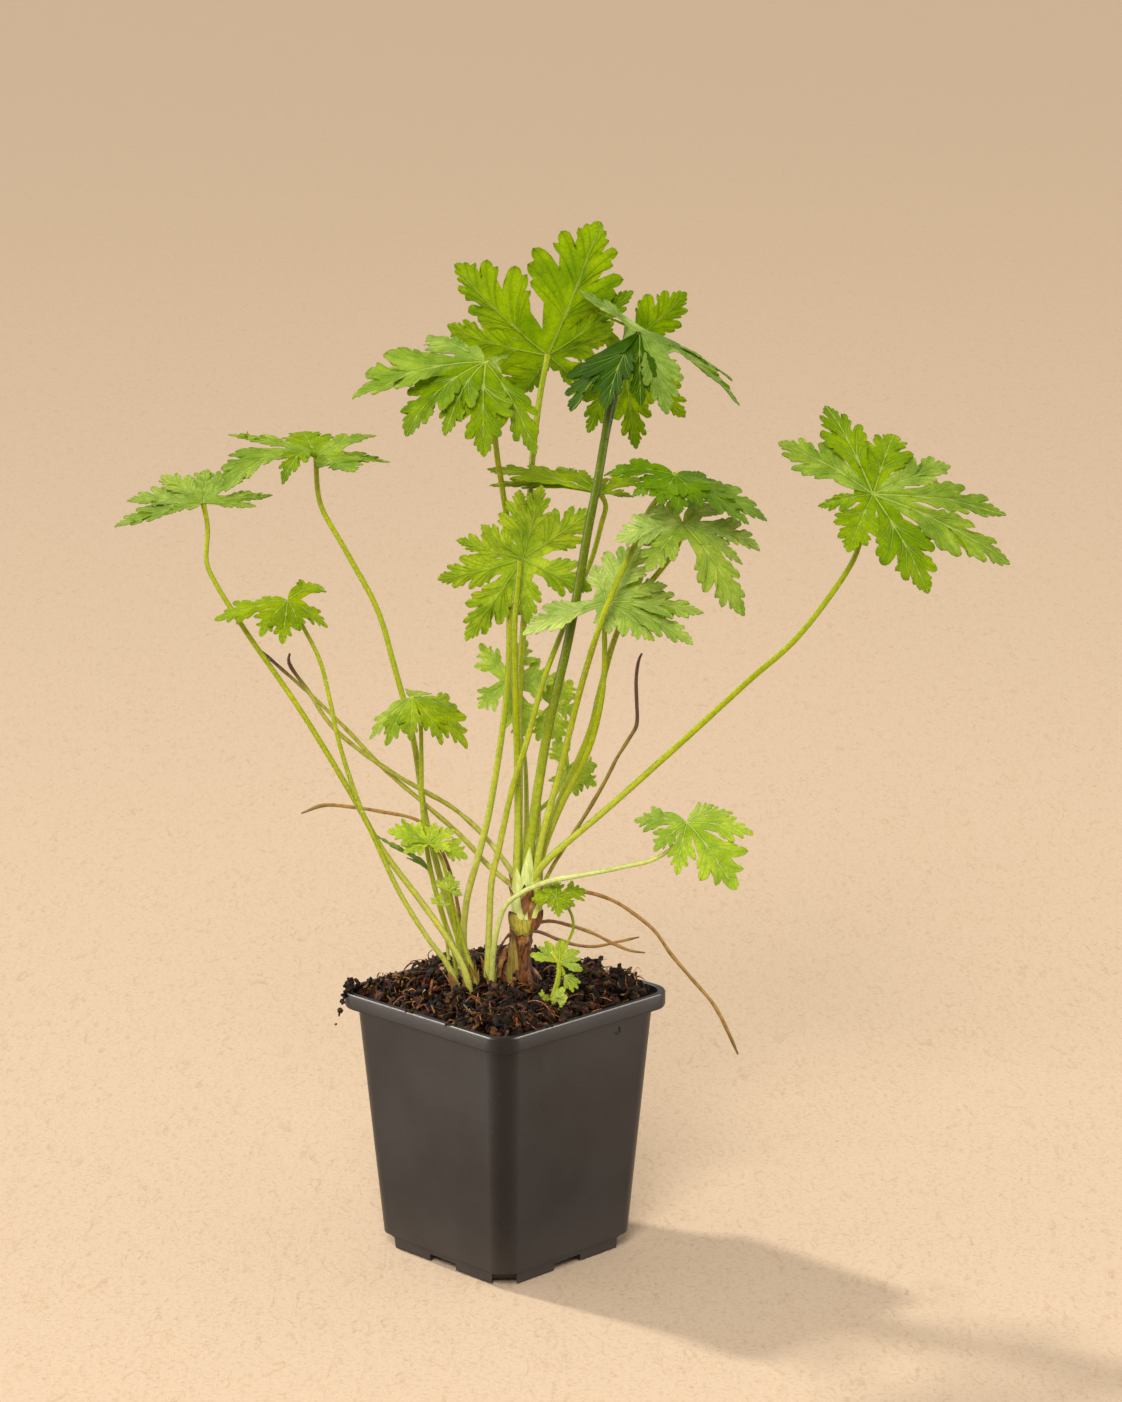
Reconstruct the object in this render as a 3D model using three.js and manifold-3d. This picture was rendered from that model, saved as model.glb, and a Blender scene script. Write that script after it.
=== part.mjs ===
// A hardy geranium in its square nursery pot.
// Millimetres, +Z up, origin on the ground under the middle of the pot. The pot stands with one
// corner towards -Y, and the plant spreads furthest along +X.

import * as THREE from 'three';
import { mergeVertices } from 'three/addons/utils/BufferGeometryUtils.js';
import Module from 'manifold-3d';

const wasm = await Module();
wasm.setup();

// ---------------------------------------------------------------- driving dimensions

const POT_HEIGHT = 100;
const RIM_WIDTH = 90;          // across the flats of the rim
const RIM_BAND = 6;            // height of the rim band
const RIM_WALL = 2.2;
const RIM_CORNER = 10;
const BODY_TOP_WIDTH = 82.4;   // across the flats just under the rim
const BODY_FOOT_WIDTH = 69.2;  // across the flats just above the step
const BODY_CORNER = 9;
const SKIRT_WIDTH = 65.2;
const SKIRT_HEIGHT = 5.4;
const SKIRT_CORNER = 8;
const POT_WALL = 1.3;
const FLOOR_UNDERSIDE = 1.5;
const FLOOR_THICKNESS = 1.2;
const SIDE_NOTCH = { width: 14, height: 2.6 };
const CORNER_GAP = { width: 9, height: 3.9 };
const POT_TURN = Math.PI / 4;  // a corner of the pot points along -Y

const GAP = 0.3;               // clearance between pieces that touch
const SOIL_RIM_LEVEL = 97;     // height of the soil where it meets the wall
const SOIL_CROWN = 8.5;        // how much higher it is in the middle
const SOIL_CLODS = 56;
const SOIL_SEED = 20417;

const BLADE = 0.8;             // thickness of a leaf blade
const STALK_SIDES = 5;

const CROWN = { x: 8, y: -6, foot: 127.3, top: 149 };
const ROOTSTOCK = { x: 6.5, y: -6.5, foot: 93, top: 127, radius: 4 };

// ---------------------------------------------------------------- materials

const plain = (colour, roughness) => new THREE.MeshStandardMaterial({ color: colour, roughness, metalness: 0 });
const MATERIALS = {
  pot: plain('#3b3734', 0.5),
  soil: plain('#2a1c14', 0.95),
  leaf: plain('#7fa11c', 0.5),
  deepLeaf: plain('#4f7a12', 0.5),
  paleLeaf: plain('#9cb43f', 0.5),
  wood: plain('#5b3a26', 0.85),
  sheath: plain('#8a9a35', 0.6),
  dryStalk: plain('#a8a04c', 0.7),
  brownStalk: plain('#6b4a2c', 0.75),
};

// ---------------------------------------------------------------- small helpers

const vec = ([x, y, z]) => new THREE.Vector3(x, y, z);
const curveThrough = (points) => new THREE.CatmullRomCurve3(points.map(vec), false, 'centripetal');

function seeded(seed) {
  let state = seed >>> 0;
  return () => {
    state = (state + 0x6d2b79f5) >>> 0;
    let mixed = Math.imul(state ^ (state >>> 15), 1 | state);
    mixed = (mixed + Math.imul(mixed ^ (mixed >>> 7), 61 | mixed)) ^ mixed;
    return ((mixed ^ (mixed >>> 14)) >>> 0) / 4294967296;
  };
}

function geometryOf(positions, triangles) {
  const geometry = new THREE.BufferGeometry();
  geometry.setAttribute('position', new THREE.Float32BufferAttribute(positions, 3));
  geometry.setIndex(triangles);
  return geometry;
}

function solidOf(geometry) {
  const bare = geometry.clone();
  bare.deleteAttribute('normal');
  bare.deleteAttribute('uv');
  const merged = mergeVertices(bare, 1e-4);
  return new wasm.Manifold(new wasm.Mesh({
    numProp: 3,
    vertProperties: new Float32Array(merged.attributes.position.array),
    triVerts: new Uint32Array(merged.index.array),
  }));
}

const cut = (solid, tools) => tools.reduce((rest, tool) => rest.subtract(tool), solid);
const join = (solids) => solids.reduce((whole, solid) => whole.add(solid));
const mainBody = (solid) => solid.decompose().reduce((most, body) => (body.volume() > most.volume() ? body : most));

function meshOf(name, solid, material) {
  const { vertProperties, triVerts, numProp } = solid.getMesh();
  const positions = [];
  for (let i = 0; i < vertProperties.length; i += numProp) {
    positions.push(vertProperties[i], vertProperties[i + 1], vertProperties[i + 2]);
  }
  const mesh = new THREE.Mesh(geometryOf(positions, Array.from(triVerts)), material);
  mesh.name = name;
  return mesh;
}

// Closed skin over rings of points that all have the same count, with both ends capped.
function skin(rings) {
  const count = rings[0].length;
  const positions = rings.flat().flatMap((p) => [p.x, p.y, p.z]);
  const triangles = [];
  for (let r = 0; r + 1 < rings.length; r += 1) {
    for (let i = 0; i < count; i += 1) {
      const a = r * count + i;
      const b = r * count + ((i + 1) % count);
      triangles.push(a, b, b + count, a, b + count, a + count);
    }
  }
  const last = (rings.length - 1) * count;
  for (let i = 1; i + 1 < count; i += 1) {
    triangles.push(0, i + 1, i, last, last + i, last + i + 1);
  }
  return geometryOf(positions, triangles);
}

// ---------------------------------------------------------------- pot and soil

const ARC_STEPS = 4;

// Rounded square, counter-clockwise, at one height.
function roundedSquare(width, corner, z) {
  const points = [];
  const centre = width / 2 - corner;
  for (let quarter = 0; quarter < 4; quarter += 1) {
    const start = quarter * (Math.PI / 2);
    const middle = start + Math.PI / 4;
    const cx = centre * Math.SQRT2 * Math.cos(middle);
    const cy = centre * Math.SQRT2 * Math.sin(middle);
    for (let step = 0; step <= ARC_STEPS; step += 1) {
      const angle = start + (step / ARC_STEPS) * (Math.PI / 2);
      points.push(new THREE.Vector3(cx + corner * Math.cos(angle), cy + corner * Math.sin(angle), z)
        .applyAxisAngle(new THREE.Vector3(0, 0, 1), POT_TURN));
    }
  }
  return points;
}

const bodyWidthAt = (z) => THREE.MathUtils.mapLinear(z, SKIRT_HEIGHT, POT_HEIGHT - RIM_BAND, BODY_FOOT_WIDTH, BODY_TOP_WIDTH);
const FLOOR_TOP = FLOOR_UNDERSIDE + FLOOR_THICKNESS;

function turnedBox(sizeX, sizeY, sizeZ, x, y, z, turn) {
  const box = new THREE.BoxGeometry(sizeX, sizeY, sizeZ);
  box.translate(x, y, z);
  box.rotateZ(turn);
  return solidOf(box);
}

function potSolid() {
  const bandFoot = POT_HEIGHT - RIM_BAND;
  const ledge = bandFoot + POT_WALL;
  const outside = solidOf(skin([
    roundedSquare(SKIRT_WIDTH, SKIRT_CORNER, 0),
    roundedSquare(SKIRT_WIDTH + 0.6, SKIRT_CORNER, SKIRT_HEIGHT - 0.5),
    roundedSquare(BODY_FOOT_WIDTH, BODY_CORNER, SKIRT_HEIGHT),
    roundedSquare(BODY_TOP_WIDTH, BODY_CORNER, bandFoot - 0.4),
    roundedSquare(RIM_WIDTH - 0.6, RIM_CORNER, bandFoot),
    roundedSquare(RIM_WIDTH, RIM_CORNER, bandFoot + 0.8),
    roundedSquare(RIM_WIDTH, RIM_CORNER, POT_HEIGHT - 0.6),
    roundedSquare(RIM_WIDTH - 1, RIM_CORNER, POT_HEIGHT),
  ]));
  const inside = solidOf(skin([
    roundedSquare(SKIRT_WIDTH - 2 * POT_WALL, SKIRT_CORNER - POT_WALL, FLOOR_TOP),
    roundedSquare(SKIRT_WIDTH - 2 * POT_WALL, SKIRT_CORNER - POT_WALL, SKIRT_HEIGHT + 0.4),
    roundedSquare(bodyWidthAt(SKIRT_HEIGHT + 2) - 2 * POT_WALL, BODY_CORNER - POT_WALL, SKIRT_HEIGHT + 2),
    roundedSquare(BODY_TOP_WIDTH - 2 * POT_WALL, BODY_CORNER - POT_WALL, ledge - 0.4),
    roundedSquare(RIM_WIDTH - 2 * RIM_WALL, RIM_CORNER - RIM_WALL, ledge),
    roundedSquare(RIM_WIDTH - 2 * RIM_WALL, RIM_CORNER - RIM_WALL, POT_HEIGHT + 1),
  ]));
  const recess = solidOf(skin([
    roundedSquare(SKIRT_WIDTH - 2 * POT_WALL, SKIRT_CORNER - POT_WALL, -1),
    roundedSquare(SKIRT_WIDTH - 2 * POT_WALL, SKIRT_CORNER - POT_WALL, FLOOR_UNDERSIDE),
  ]));
  const notches = [0, 1, 2, 3].map((side) => turnedBox(
    10, SIDE_NOTCH.width, 2 * SIDE_NOTCH.height, SKIRT_WIDTH / 2, 0, 0, POT_TURN + side * (Math.PI / 2),
  ));
  const cornerReach = (SKIRT_WIDTH / 2) * Math.SQRT2 - SKIRT_CORNER * (Math.SQRT2 - 1);
  const cornerGaps = [0, 1, 2, 3].map((side) => turnedBox(
    6, CORNER_GAP.width, 2 * CORNER_GAP.height, cornerReach, 0, 0, side * (Math.PI / 2),
  ));
  return cut(outside, [inside, recess, ...notches, ...cornerGaps]);
}

const SOIL_RINGS = 7;

// Height of the soil's top: a low mound, a hollow behind the rim, and uneven ground.
function soilHeight(x, y, share) {
  const mound = SOIL_CROWN * (1 - share * share);
  const uneven = Math.sin(0.31 * x + 1.3) * Math.cos(0.27 * y - 0.4) + 0.6 * Math.sin(0.62 * x - 0.5 * y);
  return SOIL_RIM_LEVEL + mound + uneven * (1 - share ** 6);
}

function soilBed() {
  const clearance = 2 * (POT_WALL + GAP);
  const corner = BODY_CORNER - POT_WALL;
  const rings = [
    roundedSquare(SKIRT_WIDTH - clearance, SKIRT_CORNER - POT_WALL, FLOOR_TOP + GAP),
    roundedSquare(SKIRT_WIDTH - clearance, SKIRT_CORNER - POT_WALL, SKIRT_HEIGHT + 0.8),
    roundedSquare(bodyWidthAt(SKIRT_HEIGHT + 3) - clearance - 0.4, corner, SKIRT_HEIGHT + 3),
    roundedSquare(BODY_TOP_WIDTH - clearance - 0.2, corner, POT_HEIGHT - RIM_BAND - 0.4),
  ];
  const edge = roundedSquare(BODY_TOP_WIDTH - clearance - 0.2, corner, 0);
  for (let ring = 0; ring < SOIL_RINGS; ring += 1) {
    const share = 1 - ring / SOIL_RINGS;
    rings.push(edge.map((p) => new THREE.Vector3(p.x * share, p.y * share, soilHeight(p.x * share, p.y * share, share))));
  }
  return solidOf(skin(rings));
}

// Clods and bark bits, scattered evenly over the mound and sunk in by about a third.
function clods() {
  const random = seeded(SOIL_SEED);
  const goldenAngle = Math.PI * (3 - Math.sqrt(5));
  const reach = BODY_TOP_WIDTH / 2 - 6;
  return Array.from({ length: SOIL_CLODS }, (_, i) => {
    const distance = reach * Math.sqrt((i + 0.5) / SOIL_CLODS) * (0.96 + 0.08 * random());
    const angle = i * goldenAngle;
    const x = distance * Math.cos(angle);
    const y = distance * Math.sin(angle);
    const size = 2.2 + 2.6 * random() ** 2;
    const clod = new THREE.OctahedronGeometry(size, 0);
    clod.scale(1 + 0.5 * random(), 0.8 + 0.4 * random(), 0.6 + 0.4 * random());
    clod.rotateX(random() * 3);
    clod.rotateZ(random() * 6);
    clod.translate(x, y, soilHeight(x, y, distance / reach) + size * 0.2);
    return solidOf(clod);
  });
}

// ---------------------------------------------------------------- stalks

// Closed tube along a curve, thicker at its start than at its end, grown by extra all round.
function stalk(points, [startRadius, endRadius], steps, extra = 0, sides = STALK_SIDES) {
  const curve = curveThrough(points);
  const { normals, binormals } = curve.computeFrenetFrames(steps, false);
  const rings = [];
  for (let step = 0; step <= steps; step += 1) {
    const share = step / steps;
    const centre = curve.getPointAt(share);
    const radius = THREE.MathUtils.lerp(startRadius, endRadius, share) + extra;
    rings.push(Array.from({ length: sides }, (_, i) => {
      const angle = (i / sides) * 2 * Math.PI;
      return centre.clone()
        .addScaledVector(normals[step], radius * Math.cos(angle))
        .addScaledVector(binormals[step], radius * Math.sin(angle));
    }));
  }
  return solidOf(skin(rings));
}

// ---------------------------------------------------------------- leaf blades

// Half of a lobe's edge from its notch to its tip, with the midrib joint that each point is
// webbed to: [share along the midrib, share out from it, midrib joint].
const TOOTHED_EDGE = {
  midrib: [0.36, 0.58, 0.78, 1],
  edge: [[0.5, 0.17, 0], [0.66, 0.3, 0], [0.63, 0.19, 0], [0.8, 0.26, 1], [0.77, 0.14, 1], [0.91, 0.13, 2]],
};
const SMALL_EDGE = {
  midrib: [0.4, 0.68, 1],
  edge: [[0.54, 0.19, 0], [0.72, 0.28, 0], [0.7, 0.15, 0], [0.88, 0.13, 1]],
};
const OPEN_SIDE = [0.3, 0.12];     // where the outer lobes leave the stalk's notch
const EVEN_SPREAD = 0.45;          // tangent of half the angle between lobes of full width
const MOST_SPREAD = 1.15;

// A palmate blade: lobes from the hub to each tip, in order round the hub, joined near it.
function blade({ hub, up, tips, arch = 0.06, crease = 0.1, pattern = TOOTHED_EDGE }) {
  const centre = vec(hub);
  const upward = vec(up).normalize();
  let ends = tips.map((tip) => vec(tip));
  const turning = ends.slice(1).reduce((sum, end, i) => (
    sum + new THREE.Vector3().crossVectors(ends[i].clone().sub(centre), end.clone().sub(centre)).dot(upward)), 0);
  if (turning < 0) {
    ends = ends.reverse();
  }
  const lobes = ends.map((end) => {
    const along = end.clone().sub(centre);
    const length = along.length();
    along.normalize();
    const rise = upward.clone().addScaledVector(along, -upward.dot(along)).normalize();
    const side = new THREE.Vector3().crossVectors(rise, along);
    const spine = (t) => centre.clone().addScaledVector(along, t * length).addScaledVector(rise, 4 * t * (1 - t) * arch * length);
    const off = (t, w) => spine(Math.min(t, 1)).addScaledVector(side, w * length)
      .addScaledVector(rise, Math.abs(w) * crease * length);
    return { along, spine, off };
  });

  const points = [centre];
  const triangles = [];
  const add = (point) => points.push(point) - 1;
  const spread = (a, b) => THREE.MathUtils.clamp(Math.tan(a.along.angleTo(b.along) / 2) / EVEN_SPREAD, 0.5, MOST_SPREAD);
  const ribs = lobes.map((lobe) => [...pattern.midrib.map((t) => add(lobe.spine(t)))]);
  const notches = lobes.slice(1).map((lobe, i) => add(
    lobe.spine(pattern.midrib[0]).add(lobes[i].spine(pattern.midrib[0])).multiplyScalar(0.5)));
  lobes.forEach((lobe, index) => {
    [1, -1].forEach((hand) => {
      const other = lobes[index + hand];
      const width = hand * (other ? spread(lobe, other) : 0.9);
      const notch = other ? notches[hand > 0 ? index : index - 1] : add(lobe.off(OPEN_SIDE[0], hand * OPEN_SIDE[1]));
      const rib = ribs[index];
      const web = (a, b, c) => triangles.push(...(hand > 0 ? [a, b, c] : [a, c, b]));
      web(0, rib[0], notch);
      let last = notch;
      let joint = 0;
      pattern.edge.forEach(([t, w, target]) => {
        for (; joint < target; joint += 1) {
          web(rib[joint], rib[joint + 1], last);
        }
        const next = add(lobe.off(t, width * w));
        web(rib[joint], next, last);
        last = next;
      });
      for (; joint + 1 < rib.length; joint += 1) {
        web(rib[joint], rib[joint + 1], last);
      }
    });
  });
  return solidOf(thickened(points, triangles, BLADE));
}

// A sheet given thickness: the same triangles on both faces, and a wall round every open edge.
function thickened(points, triangles, thickness) {
  const normals = points.map(() => new THREE.Vector3());
  const edges = new Map();
  for (let i = 0; i < triangles.length; i += 3) {
    const [a, b, c] = triangles.slice(i, i + 3);
    const facing = new THREE.Vector3().crossVectors(points[b].clone().sub(points[a]), points[c].clone().sub(points[a]));
    [a, b, c].forEach((corner) => normals[corner].add(facing));
    [[a, b], [b, c], [c, a]].forEach(([from, to]) => edges.set(`${from} ${to}`, [from, to]));
  }
  const positions = [];
  [0.5, -0.5].forEach((face) => points.forEach((point, i) => {
    const moved = point.clone().addScaledVector(normals[i].clone().normalize(), face * thickness);
    positions.push(moved.x, moved.y, moved.z);
  }));
  const under = points.length;
  const faces = [...triangles];
  for (let i = 0; i < triangles.length; i += 3) {
    faces.push(triangles[i] + under, triangles[i + 2] + under, triangles[i + 1] + under);
  }
  edges.forEach(([from, to]) => {
    if (!edges.has(`${to} ${from}`)) {
      faces.push(to, from, from + under, to, from + under, to + under);
    }
  });
  return geometryOf(positions, faces);
}

// ---------------------------------------------------------------- the plant

// Each leaf: its hub, the way its upper face looks, its lobe tips in order round the hub, and
// its stalk from the hub down to its seat, with the stalk's radius at the top and at the foot.
const CROWN_LEAVES = {
  leaf_top: {
    material: MATERIALS.leaf, hub: [16, 22, 334], up: [0, 0.9, 0.45], arch: -0.06,
    tips: [[10, 40, 319], [-21, 28, 344], [-18, 20, 367], [35, 14, 383], [47, 25, 357], [40, 34, 342], [32, 39, 320]],
    stalk: [[16, 21.8, 334], [13.5, 19, 321.5], [11.5, 17, 307], [10, 15, 292], [8.5, 11, 258], [5.5, 6, 209],
      [5.5, 1, 175], [5.2, -2.5, 152], [5, -3.2, 137]],
    radius: [1.1, 1.4],
  },
  leaf_centre: {
    material: MATERIALS.paleLeaf, hub: [6, -2, 262], up: [0, 0.95, 0.3], arch: -0.03,
    tips: [[-8, -5, 276], [8, -8, 290], [32, -7, 281], [32, -6, 252], [10, 0, 236], [-14, 2, 232], [-24, -2, 255]],
    stalk: [[6, -2.2, 262], [5, -6, 252], [4, -7, 240], [4.3, -7.2, 211], [4.8, -8, 189], [5, -9, 165],
      [4.6, -9.2, 150], [4.4, -9, 137]],
    radius: [1.1, 1.35],
  },
  leaf_right_upper: {
    material: MATERIALS.deepLeaf, hub: [61, -30, 298], up: [0.1, -0.35, 0.93], arch: 0.12,
    tips: [[35, -20, 297], [46, -33, 292], [58, -42, 287], [65, -42, 286], [87, -34, 281], [93, -26, 282], [77, -10, 294]],
    stalk: [[61, -29.7, 298], [56, -20, 289], [52, -14, 282], [48, -15, 272], [43.5, -21, 264], [39, -26, 255],
      [34.5, -29.5, 243.5], [27.5, -18, 217], [20.5, -13.5, 187], [14.5, -12, 164], [12, -11.3, 150], [11.5, -11, 137]],
    radius: [1, 1.35],
  },
  leaf_right_middle: {
    material: MATERIALS.leaf, hub: [64, -28, 280], up: [0.1, -0.55, 0.82], arch: 0.09,
    tips: [[52, -20, 285], [40, -28, 274], [51, -39, 265], [85, -44, 250], [85, -31, 266], [92, -24, 270], [75, -10, 284]],
    stalk: [[64, -27.7, 280], [62.5, -19, 271], [58, -12, 262.5], [53, -9, 255.5], [47.5, -8, 248], [41.5, -8, 238],
      [35, -6, 215], [31.5, -5, 200], [20.5, -3.2, 173.5], [13, -2.6, 157], [10.6, -2.5, 149], [10, -2.5, 137]],
    radius: [1, 1.35],
  },
  leaf_right_lower: {
    material: MATERIALS.paleLeaf, hub: [37, -18, 250], up: [0, -0.45, 0.88], arch: 0.08,
    tips: [[32, -12, 261], [8, -20, 237], [39, -25, 241], [54, -28, 238], [69, -23, 238], [73, -18, 246],
      [60, -16, 255], [49, -6, 268]],
    stalk: [[37, -17.7, 250], [36.5, -14, 241], [36.5, -13, 228], [35.5, -12, 213], [31, -10, 194], [21, -7.5, 172.5],
      [15, -6.7, 157], [13, -6.5, 149], [12.4, -6.5, 137]],
    radius: [0.95, 1.25],
  },
  leaf_far_right: {
    material: MATERIALS.leaf, hub: [133, -5, 287], up: [0.05, -0.6, 0.8], arch: 0.05,
    tips: [[99, 16, 303], [118, 28, 314], [161, 16, 296], [182, 0, 279], [182, -16, 264], [151, -32, 255], [124, -22, 270]],
    stalk: [[133, -4.7, 287], [130.5, 0, 275], [127.5, 1, 263.5], [122, 0, 254], [105.5, -7, 234], [89, -11, 220],
      [71, -15, 204], [53, -18, 188], [35, -19, 171.5], [24, -18.5, 161.5], [15, -17, 152.5], [9.6, -14.5, 146],
      [7.8, -13, 137]],
    radius: [1, 1.35],
  },
  leaf_inner_first: {
    material: MATERIALS.leaf, hub: [1, 14, 214], up: [0, -0.9, 0.4], arch: 0.08, pattern: SMALL_EDGE,
    tips: [[-9, 12, 228], [-10, 14, 204], [8, 16, 193], [18, 16, 214], [9, 18, 226]],
    stalk: [[1, 14.2, 214], [3, 15, 205], [7, 13, 188], [8, 8, 168], [7.6, 3.5, 152], [7.5, 1.5, 137]],
    radius: [0.7, 1.1],
  },
};

const SHOOT_UPPER_RIGHT = {
  material: MATERIALS.deepLeaf,
  front: {
    hub: [49, 0, 345], up: [-0.15, -0.25, 0.95], arch: 0.11,
    tips: [[26, 11, 359], [41, 14, 353], [79, 4, 332], [85, -10, 320], [59, -22, 320], [36, -18, 322], [29, -6, 323]],
  },
  rear: {
    hub: [44, 44, 334], up: [0.1, 0.85, 0.5], arch: -0.04,
    tips: [[28, 48, 346], [25, 52, 311], [31, 56, 301], [48, 58, 294], [67, 52, 307], [68, 36, 353], [50, 38, 356]],
  },
  stem: [[49, 0.3, 345], [44, 4, 332.5], [39, 3, 320], [36.5, -2, 306.5], [34, -7, 292.5], [30.5, -11, 275],
    [27.5, -11, 257], [23.5, -11, 235], [16, -10, 201], [10.7, -8.3, 167], [8.6, -7.6, 150], [8.2, -7.4, 137]],
  stemRadius: [1.5, 1.9],
  branch: [[44, 43.7, 334], [42.5, 28, 326], [40, 14, 318], [36.6, -2, 306.5]],
  branchRadius: [1, 1.3],
};

const INNER_SPRAY = {
  material: MATERIALS.leaf,
  stem: [[17, 23.8, 203], [15.5, 20, 192], [13, 15, 179], [12.5, 9, 165], [12.5, 3.5, 152], [12, 1.2, 137]],
  stemRadius: [0.7, 1.1],
  upper: {
    hub: [17, 24, 203], up: [0, -0.9, 0.4], arch: 0.08, pattern: SMALL_EDGE,
    tips: [[11, 27, 216], [25, 30, 211], [26, 26, 200], [20, 20, 189], [12, 20, 190]],
  },
  lower: {
    hub: [23, 14, 181], up: [0, -0.9, 0.4], arch: 0.08, pattern: SMALL_EDGE,
    tips: [[18, 16, 191], [34, 18, 181], [34, 12, 175], [27, 8, 172], [19, 8, 173]],
  },
  branch: [[23, 13.8, 181], [19, 13, 172], [12.6, 9.4, 166]],
  branchRadius: [0.6, 0.8],
};

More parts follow.
